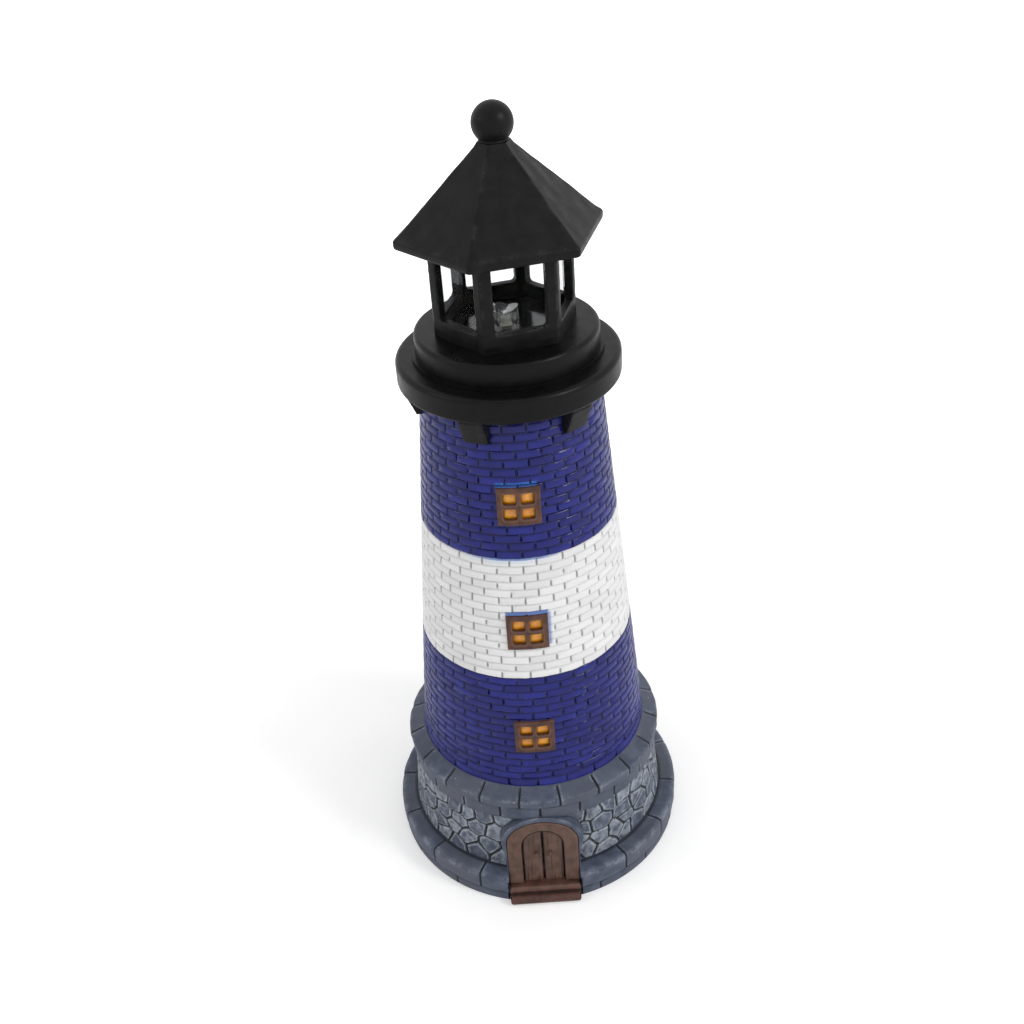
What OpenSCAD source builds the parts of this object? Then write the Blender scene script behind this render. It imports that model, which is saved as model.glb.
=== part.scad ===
// Garden lighthouse ornament with a lift-out lamp head and a turning beacon.
// Millimetres, +Z up, origin at the centre of the ground ring's underside,
// the door faces -Y.

/* [Ground ring] */
// Outer radius of the bevelled stones
ring_r = 50.2; // [48:0.1:54]
// Width of the ring's top outside the wall
ring_ledge = 6; // [5:0.1:8]
// Height of the ring's top above the ground
ring_h = 11; // [9.5:0.1:13]
// Height of the thin lower course
ring_course_h = 3.6; // [2.6:0.1:4.4]
// Set-back of the lower course behind the stones above it
ring_course_inset = 0.5; // [0.2:0.1:1]
// Bevel radius on the stones' top outer edge
ring_bevel = 1.6; // [0.8:0.1:2]
// Number of stones from the joint right of the door round to the one left of it
ring_stones = 13; // [10:1:16]
// Azimuth of the stone joint left of the door, degrees
ring_joint_left = -26; // [-30:1:-22]
// Azimuth of the stone joint right of the door, degrees
ring_joint_right = 34.5; // [31:0.5:38]

/* [Plinth wall] */
// How far the wall leans in between its foot and the brick band
wall_taper = 1.8; // [1:0.1:2.6]
// Height of the paved wall above the ring
wall_h = 21.6; // [20:0.1:26]
// Thickness of the wall at its foot
wall_t = 3.4; // [2.8:0.1:4]
// How far the brick band stands out of the wall
band_proud = 0.6; // [0.3:0.1:1]
// Height of the brick band
band_h = 5.6; // [4:0.1:7]

/* [Coping] */
// How far the coping reaches past the wall's top
coping_overhang = 1.5; // [1.2:0.1:3.5]
// Width of the coping's top outside the tower
coping_tread = 5.4; // [4:0.1:7]
// Height of the coping's outer face
coping_h = 3.5; // [2.6:0.1:5]
// Rise of the coping's top from its edge to the tower
coping_rise = 2.1; // [1:0.1:3]
// Rounding of the coping's outer top edge
coping_round = 1.1; // [0.5:0.1:1.5]
// Number of coping stones
coping_stones = 20; // [16:1:24]
// Azimuth of one coping joint, degrees
coping_joint_turn = 9; // [7:1:11]

/* [Stone joints] */
// Width of the joints cut between stones
joint_w = 0.6; // [0.3:0.1:0.8]
// Depth of the joints
joint_d = 0.6; // [0.3:0.1:0.8]

/* [Tower] */
// Radius of the tower at its top rim
tower_top_r = 26.9; // [25:0.1:28.5]
// Width of the top rim outside the skirt's socket
rim_w = 4.4; // [4:0.1:4.8]
// Height of the tower shell
tower_h = 131.8; // [126:0.1:145]
// Thickness of the tower shell
tower_wall = 3; // [2.4:0.1:3.2]
// Number of brick courses
courses = 49; // [40:1:52]
// Depth of the bed joints between courses
course_d = 0.35; // [0.2:0.05:0.5]
// Width of the bed joints
course_w = 0.5; // [0.3:0.05:0.6]

/* [Windows] */
// Width of a window frame
window_w = 12.8; // [11:0.1:14]
// Height of a window frame
window_h = 12; // [10:0.1:13]
// Height of the lower window's centre above the ground
window_z_lower = 64.3; // [60:0.1:70]
// Height of the middle window's centre
window_z_middle = 104.3; // [98:0.1:110]
// Height of the upper window's centre
window_z_upper = 147.6; // [140:0.1:150]
// Width of the frame's outer bars
window_bar = 1.8; // [1.5:0.1:2.2]
// Width of the crossing glazing bars
window_muntin = 1.3; // [1:0.1:1.6]
// How far a frame stands out of the wall
window_proud = 0.8; // [0.5:0.1:1.2]
// How far a frame is let into the wall
window_sunk = 0.3; // [0.2:0.1:0.6]
// Thickness of the amber pane sheet
pane_t = 0.8; // [0.6:0.1:1]

/* [Door] */
// Width of the door surround
door_w = 24; // [22:0.1:25]
// Height of the door surround above the step
door_h = 26; // [25:0.1:27]
// Width of the surround's band beside the leaves
door_band = 5.1; // [4.4:0.1:5.4]
// Width of the surround's band above the leaves
door_crown = 3.4; // [2.8:0.1:4]
// Rise of the surround's arch
door_rise = 8.4; // [7.4:0.1:10]
// Rise of the leaves' arch
leaf_rise = 6.4; // [5.4:0.1:6.8]
// How far the surround stands out of the wall
door_proud = 1.8; // [1.2:0.1:2.4]
// How far the door is let into the wall
door_sunk = 1.4; // [1:0.1:1.6]
// How far the leaves lie behind the surround's face
leaf_recess = 0.9; // [0.5:0.1:1.2]
// Width of the gap between the two leaves
leaf_gap = 0.5; // [0.3:0.1:0.8]
// Radius of a door knob
knob_r = 0.8; // [0.6:0.1:1]
// Distance between the two knobs
knob_spacing = 4.6; // [3.6:0.1:6]
// Height of the knobs above the step
knob_z = 12.4; // [10:0.1:14]

/* [Door step] */
// Width of the step
step_w = 23; // [20:0.1:23.6]
// Height of the lower tier
step_lower_h = 3.5; // [2.8:0.1:4]
// Height of the upper tier
step_upper_h = 2.6; // [2.2:0.1:3]
// How far the lower tier reaches past the ring
step_reach = 1; // [0.4:0.1:1.6]
// Set-back of the upper tier
step_tread = 2.2; // [1.4:0.1:2.8]

/* [Corbels] */
// Number of corbels
corbels_n = 6; // [4:1:8]
// Width of a corbel
corbel_w = 7.4; // [5:0.1:9]
// Height of a corbel
corbel_h = 8.6; // [6:0.1:11]
// How far the corbels stay inside the gallery's edge
corbel_setback = 1.1; // [0.7:0.1:2]
// Azimuth of one corbel, degrees
corbel_turn = 38; // [30:1:45]

/* [Gallery] */
// How far the gallery's lower disc reaches past the tower's rim
gallery_overhang = 6.1; // [5.6:0.1:8]
// Height of the lower disc
gallery_h = 7.6; // [6.6:0.1:9]
// Rounding of the lower disc's lip
gallery_round = 1.6; // [0.8:0.1:2.4]
// Width of the lower disc's top outside the low ledge
ledge_setback = 5; // [4.4:0.1:5.6]
// Height of the ledge
ledge_h = 1; // [0.6:0.1:1.6]
// Width of the ledge outside the drum
drum_setback = 1.1; // [0.8:0.1:1.6]
// Height of the drum above the ledge
drum_h = 6.6; // [6:0.1:8]
// Rounding of the drum's top edge
drum_round = 1.3; // [0.6:0.1:2]
// Thickness of the drum's top
drum_top_t = 2.1; // [1.6:0.1:2.6]
// Thickness of the drum's wall below its top
drum_wall = 1.6; // [1.2:0.1:2]
// Thickness of the lower disc's floor
gallery_floor_t = 2; // [1.6:0.1:2.4]
// Thickness from the drum's face to the lower disc's cavity
cavity_wall = 3; // [2.8:0.1:3.4]

/* [Skirt] */
// Wall of the skirt
skirt_wall = 2; // [1.4:0.1:2]
// Depth of the skirt
skirt_h = 12; // [11.6:0.1:15]
// Depth of the round socket in the tower's top
socket_h = 13.5; // [12:0.1:20]
// Thickness of the seal ring under the gallery
seal_t = 0.6; // [0.4:0.1:1]

/* [Lantern] */
// Circumradius of the six-sided cage
cage_r = 21.3; // [20.6:0.1:22]
// Height of the cage
cage_h = 26.8; // [24:0.1:30]
// Thickness of the cage's walls
cage_t = 2.6; // [2:0.1:2.8]
// Width of each of a corner post's two faces
post_w = 3.2; // [2.6:0.1:3.6]
// Height of the sill below the openings
sill_h = 5.2; // [4.4:0.1:6.2]
// Height of the lintel above the openings
lintel_h = 2.2; // [1.6:0.1:3]
// Corner radius of the openings
opening_round = 1.2; // [0.8:0.1:2]
// Azimuth of the front corner post, degrees
lantern_turn = -17; // [-20:1:-14]
// Thickness of the clear glazing
glazing_t = 0.8; // [0.6:0.1:1]
// Thickness of the lantern floor
floor_t = 0.8; // [0.6:0.1:1.2]

/* [Roof] */
// How far the eaves' corners reach past the cage's
eaves_overhang = 8.7; // [7.6:0.1:10.4]
// Height of the fascia
fascia_h = 2.7; // [2:0.1:4]
// Height of the pyramid above the fascia
roof_h = 23; // [20:0.1:26]
// Circumradius of the flat at the roof's top
roof_top_r = 5; // [4.9:0.1:6]
// Rounding of the eaves' corners
roof_round = 1.2; // [0.6:0.1:2]
// Ledge between the cage's inner corners and the roof's hollow
roof_ledge = 0.6; // [0.2:0.1:2]
// Height of the hollow under the roof
roof_hollow_h = 12; // [8:0.1:12]
// Radius of the finial ball
ball_r = 5.7; // [5:0.1:6.5]
// Thickness of the collar that the ball sits on
collar_h = 0.4; // [0.3:0.1:0.8]
// Radius of the collar
collar_r = 4.2; // [4.1:0.1:4.6]
// Radius of the circle where the ball meets the collar
ball_seat_r = 3.9; // [3.4:0.1:4]
// Radius of the finial's stud
stud_r = 1.6; // [1.2:0.1:2]
// Length of the finial's stud
stud_h = 4; // [3:0.1:5]

/* [Beacon drive] */
// Gear module
gear_module = 0.4; // [0.38:0.01:0.42]
// Teeth on the turntable gear
gear_teeth = 48; // [46:1:50]
// Teeth on the drive pinion
pinion_teeth = 16; // [16:1:17]
// Thickness of the gears
gear_t = 2; // [1.6:0.1:2.4]
// Play between tooth flanks
backlash = 0.1; // [0.06:0.01:0.16]
// Thickness of the chassis plate
chassis_t = 2; // [1.6:0.1:2.4]
// Height of the boss that carries the turntable
hub_boss_h = 0.9; // [0.7:0.1:1.1]
// Radius of the fixed post in the turntable
post_r = 2; // [1.9:0.05:2.2]
// Wall of the turntable's hub
hub_wall = 1.3; // [1.1:0.1:1.4]
// Radius of the clear beacon lens
lens_r = 3.7; // [3.6:0.1:4]
// Height of the lens
lens_h = 6.2; // [5.8:0.1:8]
// Depth of the notch in the lens's top
lens_notch = 1.4; // [0.8:0.1:1.4]
// How far the turntable's top stands below the drum's top
lens_drop = 0.6; // [0.2:0.1:1]
// Gap between the gear motor and the skirt
motor_gap = 1.6; // [1.2:0.1:2.6]
// Depth of the motor's two flats
motor_flat = 1; // [0.6:0.1:1.4]
// Length of the gear motor
motor_l = 12.4; // [10:0.1:12.6]
// Radius of the motor shaft
shaft_r = 0.75; // [0.6:0.05:1]

/* [Lamp electronics] */
// Radius of the LED's dome
led_r = 1.5; // [1.4:0.05:1.6]
// Height of the LED above its post
led_h = 4.2; // [3.8:0.1:4.2]
// Radius of an LED lead
led_lead_r = 0.25; // [0.2:0.05:0.3]
// Thickness of the circuit board
board_t = 1.6; // [1:0.1:2]
// Gap between the board and the skirt
board_gap = 1.4; // [1:0.1:2.4]
// Length of the posts that carry the board
board_drop = 6.6; // [5.6:0.1:7]
// Radius of the supply and motor leads
lead_r = 0.6; // [0.4:0.1:0.8]
// Radius of the screws
screw_r = 0.8; // [0.6:0.1:1]
// Radius of the screw heads
screw_head_r = 1.6; // [1.3:0.1:1.9]

/* [Battery case] */
// Radius of a cell
cell_r = 5.25; // [5:0.05:5.4]
// Length of a cell
cell_l = 44.5; // [42:0.1:46]
// Wall of the battery case
case_wall = 1.4; // [1:0.1:1.8]
// Thickness of the disc that closes the skirt
case_disc_t = 2; // [1.6:0.1:2.4]
// Thickness of the battery cover
cover_t = 1.8; // [1.2:0.1:2.4]
// Height of the cover's spigot
cover_spigot_h = 1.2; // [0.8:0.1:2]
// Thickness of the contacts
contact_t = 0.4; // [0.3:0.1:0.6]

/* [Switch] */
// Length of the switch body
switch_l = 8.6; // [8:0.1:10]
// Width of the switch body
switch_w = 3.8; // [3.4:0.1:4.4]
// Height of the switch body
switch_h = 3.8; // [3.2:0.1:4.4]
// Travel of the slider
switch_travel = 2; // [1.5:0.1:2.4]
// Length of the slider's thumb piece
slider_l = 1.8; // [1.4:0.1:2]
// Width of the slider's thumb piece
slider_w = 1.4; // [1:0.1:1.6]
// How far the thumb piece stands out
slider_out = 1.6; // [1:0.1:2.4]

/* [Fits] */
// Gap left for glue between fixed pieces
glue_gap = 0.1; // [0.05:0.05:0.15]
// Radial clearance of lift-out pieces
slide_fit = 0.3; // [0.2:0.05:0.4]
// Radial clearance of turning pieces
run_fit = 0.06; // [0.03:0.01:0.09]

/* [Hidden] */
$fn = 96;

// Small overlap that lets a cut run past a face
eps = 0.01;
// Length that a cut runs on where nothing lies behind it
past = 1;
// Length that is longer than any piece it cuts
reach = 2 * ring_r;
// Angle between two points of an elliptical arch
arch_step = 5;

// Radii that follow from the ring and from the tower's rim
wall_foot_r = ring_r - ring_ledge;
wall_top_r = wall_foot_r - wall_taper;
band_r = wall_top_r + band_proud;
coping_r = wall_top_r + coping_overhang;
tower_foot_r = coping_r - coping_tread;
gallery_r = tower_top_r + gallery_overhang;
corbel_reach = gallery_r - corbel_setback;
ledge_r = gallery_r - ledge_setback;
drum_r = ledge_r - drum_setback;
gallery_cavity_r = drum_r - cavity_wall;
skirt_r = tower_top_r - rim_w;

// Heights of the masonry
wall_z = ring_h;
band_z = wall_z + wall_h;
coping_z = band_z + band_h;
tower_z = coping_z + coping_h + coping_rise;
tower_top_z = tower_z + tower_h;
course_h = tower_h / courses;
tower_slope = (tower_top_r - tower_foot_r) / tower_h;
hollow_foot_r = tower_foot_r - tower_wall;
wall_slope = (wall_top_r - wall_foot_r) / wall_h;
wall_lean = atan(-wall_slope);
ring_in_r = wall_foot_r - wall_t;
ring_stone_turn = (360 + ring_joint_left - ring_joint_right) / ring_stones;
step_top_z = step_lower_h + step_upper_h;
leaf_w = door_w - 2 * door_band;
leaf_h = door_h - door_crown;
band_in_r = wall_top_r - wall_t;
corbel_bury = 1;
corbel_toe = 1.2;
corbel_lip = 1;

// Heights of the lamp head
gallery_z = tower_top_z + seal_t;
gallery_top_z = gallery_z + gallery_h;
drum_z = gallery_top_z + ledge_h;
drum_top_z = drum_z + drum_h;
cage_top_z = drum_top_z + cage_h;
eaves_z = cage_top_z + fascia_h;
roof_top_z = eaves_z + roof_h;
socket_r = skirt_r + slide_fit;
skirt_in_r = skirt_r - skirt_wall;
skirt_z = gallery_z - skirt_h;
drum_in_r = gallery_cavity_r - glue_gap - drum_wall;

// Lantern
hex_fn = 6;
apothem = cos(180 / hex_fn);
cage_in_r = cage_r - cage_t / apothem;
glazing_r = cage_in_r - glue_gap / apothem;
glazing_in_r = glazing_r - glazing_t / apothem;
opening_w = cage_r - 2 * post_w;
opening_h = cage_h - sill_h - lintel_h;

// Roof and finial
roof_r = cage_r + eaves_overhang;
roof_hollow_r = cage_in_r - roof_ledge;
roof_flat_h = 1;
roof_flat_round = 0.4;
roof_hollow_top_r = 3;
collar_bury = 0.4;

// Beacon drive
pressure_angle = 20;
addendum = 0.95;
dedendum = 1.2;
gear_pitch_r = gear_module * gear_teeth / 2;
pinion_pitch_r = gear_module * pinion_teeth / 2;
motor_x = gear_pitch_r + pinion_pitch_r;
motor_r = skirt_in_r - motor_gap - motor_x;
motor_flats = 2 * (motor_r - motor_flat);
chassis_z = gallery_z + gallery_floor_t;
chassis_top_z = chassis_z + chassis_t;
chassis_r = gallery_cavity_r - glue_gap;
spigot_z = chassis_top_z;
gear_z = chassis_top_z + hub_boss_h + run_fit;
hub_r = post_r + run_fit + hub_wall;
hub_top_z = drum_top_z - lens_drop;
hub_hole_r = max(hub_r, lens_r) + slide_fit;
led_flange = 0.3;
led_bore_r = led_r + led_flange + slide_fit;
led_z = hub_top_z;
lead_bore_r = 4 * led_lead_r;
lead_x = 2 * led_lead_r;
led_lead_tail = 0.5;
motor_boss_r = 2.2;
motor_boss_h = 1;
shaft_sunk = 3.8;
shaft_over = 0.4;
shaft_grip = 0.02;
boss_r = 2.3;
boss_gap = 1.8;
boss_circle_r = skirt_in_r - screw_head_r - boss_gap;
boss_turns = [60, 180, 300];
screw_head_h = 1.2;
chassis_screw_bite = 5;
pilot_r = screw_r + glue_gap / 2;

// Board
board_z = chassis_z - board_drop - board_t;
board_edge_gap = 1.4;
board_edge_x = motor_x - motor_flats / 2 - board_edge_gap;
board_r = skirt_in_r - board_gap;
board_post_r = 2;
board_post_inset = 3.44;
board_post_x = -(board_r - board_post_inset) * cos(45);
board_post_y = -board_post_x;
board_screw_bite = 3;
motor_lead_y = 2.5;
chip = [5, 4, 1.4];
chip_x = -8;
capacitor_r = 1.8;
capacitor_h = 3.4;
capacitor_x = -2;
capacitor_y = 9;

// Battery case
cell_gap = 0.2;
cell_y = cell_r + slide_fit;
bay_r = cell_r + slide_fit;
case_r = bay_r + case_wall;
case_disc_z = skirt_z - case_disc_t;
cell_top_z = case_disc_z - contact_t - cell_gap;
cell_z = cell_top_z - cell_l;
bridge_z = cell_z - cell_gap - contact_t;
cover_spigot_z = bridge_z - cover_spigot_h;
case_z = cover_spigot_z;
cover_z = case_z - cover_t;
case_screw_r = skirt_in_r - boss_r + glue_gap;
case_screw_turns = [120, 240];
case_boss_h = 4.6;
case_screw_short = 0.6;
contact_inset = 1.2;
contact_r = cell_r - contact_inset;

// Switch
switch_gap = 3;
switch_x = -(case_r + switch_w / 2 + switch_gap);
slider_flange = 0.6;
slider_base = [slider_w + 2 * slider_flange, slider_l + 2 * slider_flange, 1];

// Point list of an arc about [x, z]
function arc(x, z, r, from, to, steps = 6) =
  [for (i = [0:steps]) let (a = from + (to - from) * i / steps) [x + r * cos(a), z + r * sin(a)]];

// Radius of the tower's face at a height
function tower_r_at(z) = tower_foot_r + tower_slope * (z - tower_z);

// Radius of the plinth wall's face at a height
function wall_r_at(z) = wall_foot_r + wall_slope * (z - wall_z);

// Involute of an angle, in degrees
function inv(a) = tan(a) * 180 / PI - a;

// Half the angle that a tooth fills at radius r
function tooth_half(r, pitch_r, teeth) =
  let (base_r = pitch_r * cos(pressure_angle))
  90 / teeth - backlash / 2 / pitch_r * 180 / PI
  + inv(pressure_angle) - inv(acos(min(1, base_r / max(r, base_r))));

// Outline of a spur gear with involute teeth
function gear_points(teeth) =
  let (
    pitch_r = gear_module * teeth / 2,
    root_r = pitch_r - dedendum * gear_module,
    tip_r = pitch_r + addendum * gear_module,
    start_r = max(root_r, pitch_r * cos(pressure_angle)),
    steps = 4
  )
  [for (k = [0:teeth - 1]) let (mid = 360 * k / teeth)
    each concat(
      [root_r * [cos(mid - tooth_half(start_r, pitch_r, teeth)),
                 sin(mid - tooth_half(start_r, pitch_r, teeth))]],
      [for (i = [0:steps]) let (r = start_r + (tip_r - start_r) * i / steps,
                                a = mid - tooth_half(r, pitch_r, teeth)) r * [cos(a), sin(a)]],
      [for (i = [steps:-1:0]) let (r = start_r + (tip_r - start_r) * i / steps,
                                   a = mid + tooth_half(r, pitch_r, teeth)) r * [cos(a), sin(a)]],
      [root_r * [cos(mid + tooth_half(start_r, pitch_r, teeth)),
                 sin(mid + tooth_half(start_r, pitch_r, teeth))]]
    )];

// Turns a radial outline into a thin upright slab at an azimuth measured from the door
module slab_at(azimuth, width) {
  rotate([0, 0, azimuth - 90])
    rotate([90, 0, 0])
      linear_extrude(width, center = true)
        children();
}

// Ring of long bevelled stones on a thin course, notched for the door step
module ground_ring() {
  course_r = ring_r - ring_course_inset;
  color([0.29, 0.31, 0.36])
    difference() {
      rotate_extrude()
        polygon(concat(
          [[ring_in_r, 0], [course_r, 0], [course_r, ring_course_h], [ring_r, ring_course_h + ring_course_inset]],
          arc(ring_r - ring_bevel, ring_h - ring_bevel, ring_bevel, 0, 90),
          [[ring_in_r, ring_h]]
        ));
      for (k = [0:ring_stones])
        slab_at(ring_joint_right + k * ring_stone_turn, joint_w)
          polygon([
            [wall_foot_r + joint_w, ring_h + eps], [wall_foot_r + joint_w, ring_h - joint_d],
            [ring_r - joint_d, ring_h - joint_d], [ring_r - joint_d, ring_course_h + joint_w],
            [ring_r + eps, ring_course_h + joint_w], [ring_r + eps, ring_h + eps]
          ]);
      for (k = [0:ring_stones])
        slab_at(ring_joint_right + (k - 0.5) * ring_stone_turn, joint_w)
          translate([course_r - joint_d, -past])
            square([joint_d + past, past + ring_course_h + ring_course_inset / 2]);
      door_notch();
    }
}

// Space in ring and wall that the door and its step fill
module door_notch() {
  drop = step_top_z + past;
  at_door()
    translate([0, 0, -drop])
      door_prism(max(door_w, step_w) + 2 * glue_gap, drop + door_h + glue_gap, door_rise + glue_gap,
                 -door_sunk - glue_gap, reach / 2);
}

// Moves what is drawn on the door's plane to the leaning wall
module at_door() {
  translate([0, -wall_r_at(step_top_z), step_top_z])
    rotate([-wall_lean, 0, 0])
      children();
}

// Outline with an elliptical head, standing on y = 0
module door_outline(width, height, rise) {
  polygon(concat(
    [[-width / 2, 0], [width / 2, 0]],
    [for (a = [0:arch_step:180]) [width / 2 * cos(a), height - rise + rise * sin(a)]]
  ));
}

// Prism with an elliptical head between two distances in front of the wall's face
module door_prism(width, height, rise, from, to) {
  translate([0, -from, 0])
    rotate([90, 0, 0])
      linear_extrude(to - from)
        door_outline(width, height, rise);
}

// Hollow wall that carries the coping, with the brick band at its top
module plinth_wall() {
  color([0.33, 0.36, 0.41])
    difference() {
      rotate_extrude()
        polygon([
          [ring_in_r, wall_z], [wall_foot_r, wall_z], [wall_top_r, band_z - joint_d],
          [wall_top_r, band_z], [band_r, band_z], [band_r, coping_z], [band_in_r, coping_z]
        ]);
      for (k = [0:coping_stones - 1])
        slab_at(coping_joint_turn + 360 * (k + 0.5) / coping_stones, joint_w)
          translate([band_r - joint_d, band_z + joint_w])
            square([joint_d + past, band_h - joint_w + eps]);
      door_notch();
    }
}

// Ring of radial coping stones with a sloping top
module coping_ring() {
  edge_z = coping_z + coping_h;
  color([0.27, 0.30, 0.36])
    difference() {
      rotate_extrude()
        polygon(concat(
          [[hollow_foot_r, coping_z], [coping_r - joint_d, coping_z], [coping_r, coping_z + joint_d]],
          arc(coping_r - coping_round, edge_z - coping_round, coping_round, 0, 70),
          [[tower_foot_r + glue_gap, tower_z], [hollow_foot_r, tower_z]]
        ));
      for (k = [0:coping_stones - 1])
        slab_at(coping_joint_turn + 360 * k / coping_stones, joint_w)
          polygon([
            [tower_foot_r + joint_w, tower_z + eps], [tower_foot_r + joint_w, tower_z - joint_d],
            [coping_r - coping_round, edge_z - joint_d], [coping_r - joint_d, edge_z - coping_round],
            [coping_r - joint_d, coping_z - eps], [coping_r + eps, coping_z - eps],
            [coping_r + eps, tower_z + eps]
          ]);
    }
}

// Cone of the tower's face, grown by an offset
module tower_cone(offset_r) {
  translate([0, 0, tower_z])
    cylinder(h = tower_h, r1 = tower_foot_r + offset_r, r2 = tower_top_r + offset_r);
}

// Block that follows the tower's face at a window, between two offsets
module window_block(z, width, height, from, to) {
  intersection() {
    translate([-width / 2, -reach, z - height / 2])
      cube([width, reach, height]);
    difference() {
      tower_cone(to);
      tower_cone(from);
    }
  }
}

// Tapered hollow tower with bed joints, a socket at its top and window pockets
module tower_shell() {
  joints = [for (k = [1:courses - 1]) let (z = tower_z + k * course_h, r = tower_r_at(z))
    each [[r - tower_slope * course_w / 2, z - course_w / 2], [r - course_d, z - course_w / 5],
          [r - course_d, z + course_w / 5], [r + tower_slope * course_w / 2, z + course_w / 2]]];
  socket_z = tower_top_z - socket_h;
  color([0.09, 0.10, 0.42])
    difference() {
      rotate_extrude()
        polygon(concat(
          [[hollow_foot_r, tower_z], [tower_foot_r, tower_z]],
          joints,
          [[tower_top_r, tower_top_z], [socket_r, tower_top_z], [socket_r, socket_z],
           [min(socket_r, tower_r_at(socket_z) - tower_wall), socket_z - eps]]
        ));
      for (z = [window_z_lower, window_z_middle, window_z_upper])
        window_block(z, window_w + 2 * glue_gap, window_h + 2 * glue_gap,
                     -window_sunk - pane_t - 2 * glue_gap, past);
    }
}

// Six wedges that carry the gallery
module corbels() {
  foot_z = gallery_z - corbel_h;
  color([0.10, 0.10, 0.11])
    difference() {
      for (k = [0:corbels_n - 1])
        slab_at(corbel_turn + 360 * k / corbels_n, corbel_w)
          polygon([
            [tower_top_r - corbel_bury, gallery_z], [corbel_reach, gallery_z],
            [corbel_reach, gallery_z - corbel_lip], [tower_r_at(foot_z) + corbel_toe, foot_z],
            [tower_top_r - corbel_bury, foot_z]
          ]);
      tower_cone(glue_gap);
      translate([0, 0, tower_top_z - eps])
        cylinder(h = seal_t + 2 * eps, r = tower_top_r + glue_gap);
    }
}

// Frame of two by two lights
module window_frame(z) {
  light_w = (window_w - 2 * window_bar - window_muntin) / 2;
  light_h = (window_h - 2 * window_bar - window_muntin) / 2;
  color([0.33, 0.20, 0.13])
    difference() {
      window_block(z, window_w, window_h, -window_sunk, window_proud);
      for (side = [-1, 1], level = [-1, 1])
        translate([side * (light_w + window_muntin) / 2 - light_w / 2, -reach,
                   z + level * (light_h + window_muntin) / 2 - light_h / 2])
          cube([light_w, reach, light_h]);
    }
}

// Amber sheet behind a frame
module window_panes(z) {
  color([0.90, 0.52, 0.08])
    window_block(z, window_w - window_bar, window_h - window_bar,
                 -window_sunk - pane_t - glue_gap, -window_sunk - glue_gap);
}

module window_frame_lower() { window_frame(window_z_lower); }
module window_frame_middle() { window_frame(window_z_middle); }
module window_frame_upper() { window_frame(window_z_upper); }
module window_panes_lower() { window_panes(window_z_lower); }
module window_panes_middle() { window_panes(window_z_middle); }
module window_panes_upper() { window_panes(window_z_upper); }

// Arched band around the leaves
module door_surround() {
  color([0.28, 0.18, 0.15])
    at_door()
      difference() {
        door_prism(door_w, door_h, door_rise, -door_sunk, door_proud);
        translate([0, 0, -eps])
          door_prism(leaf_w, leaf_h + eps, leaf_rise, -door_sunk - past, door_proud + past);
      }
}

// One leaf, on the side -1 or 1
module door_leaf(side) {
  color([0.25, 0.16, 0.13])
    at_door()
      intersection() {
        door_prism(leaf_w - 2 * glue_gap, leaf_h - glue_gap, leaf_rise - glue_gap,
                   -door_sunk, door_proud - leaf_recess);
        translate([side > 0 ? leaf_gap / 2 : -leaf_w, -reach / 2, 0])
          cube([leaf_w - leaf_gap / 2, reach, leaf_h]);
      }
}

module door_leaf_left() { door_leaf(-1); }
module door_leaf_right() { door_leaf(1); }

// Two round knobs on short stems
module door_knobs() {
  color([0.42, 0.26, 0.18])
    at_door()
      for (side = [-1, 1])
        translate([side * knob_spacing / 2, -(door_proud - leaf_recess), knob_z]) {
          rotate([90, 0, 0])
            cylinder(h = knob_r, r = knob_r / 2, $fn = 32);
          translate([0, -knob_r, 0])
            sphere(knob_r, $fn = 32);
        }
}

// One tier with a bull-nosed front edge
module step_tier(z, height, front_y) {
  back_y = -(wall_r_at(0) - door_sunk);
  translate([-step_w / 2, front_y + height / 2, z])
    cube([step_w, back_y - front_y - height / 2, height]);
  translate([-step_w / 2, front_y + height / 2, z + height / 2])
    rotate([0, 90, 0])
      cylinder(h = step_w, r = height / 2);
}

// Two-tier step let into the ring
module door_step() {
  color([0.30, 0.17, 0.14])
    union() {
      step_tier(0, step_lower_h, -(ring_r + step_reach));
      step_tier(step_lower_h, step_upper_h, -(ring_r + step_reach - step_tread));
    }
}

// Lower disc of the gallery with the skirt that plugs into the tower
module gallery_housing() {
  low_round = 1;
  color([0.08, 0.08, 0.09])
    union() {
      rotate_extrude()
        polygon(concat(
          [[skirt_in_r, skirt_z], [skirt_r, skirt_z], [skirt_r, gallery_z]],
          arc(gallery_r - low_round, gallery_z + low_round, low_round, -90, 0, 4),
          arc(gallery_r - gallery_round, gallery_top_z - gallery_round, gallery_round, 0, 90),
          [[ledge_r, gallery_top_z], [ledge_r, drum_z], [gallery_cavity_r, drum_z],
           [gallery_cavity_r, chassis_z], [skirt_in_r, chassis_z]]
        ));
      for (turn = case_screw_turns)
        intersection() {
          rotate([0, 0, turn])
            translate([case_screw_r, 0, skirt_z])
              difference() {
                cylinder(h = case_boss_h, r = boss_r, $fn = 48);
                translate([0, 0, -eps])
                  cylinder(h = case_boss_h + past, r = pilot_r, $fn = 48);
              }
          translate([0, 0, skirt_z])
            cylinder(h = skirt_h, r = skirt_r - skirt_wall / 2);
        }
    }
}

// Flat ring that seals the tower's rim
module seal_ring() {
  color([0.14, 0.14, 0.15])
    translate([0, 0, tower_top_z])
      difference() {
        cylinder(h = seal_t, r = tower_top_r - glue_gap);
        translate([0, 0, -eps])
          cylinder(h = seal_t + 2 * eps, r = socket_r);
      }
}

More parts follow.
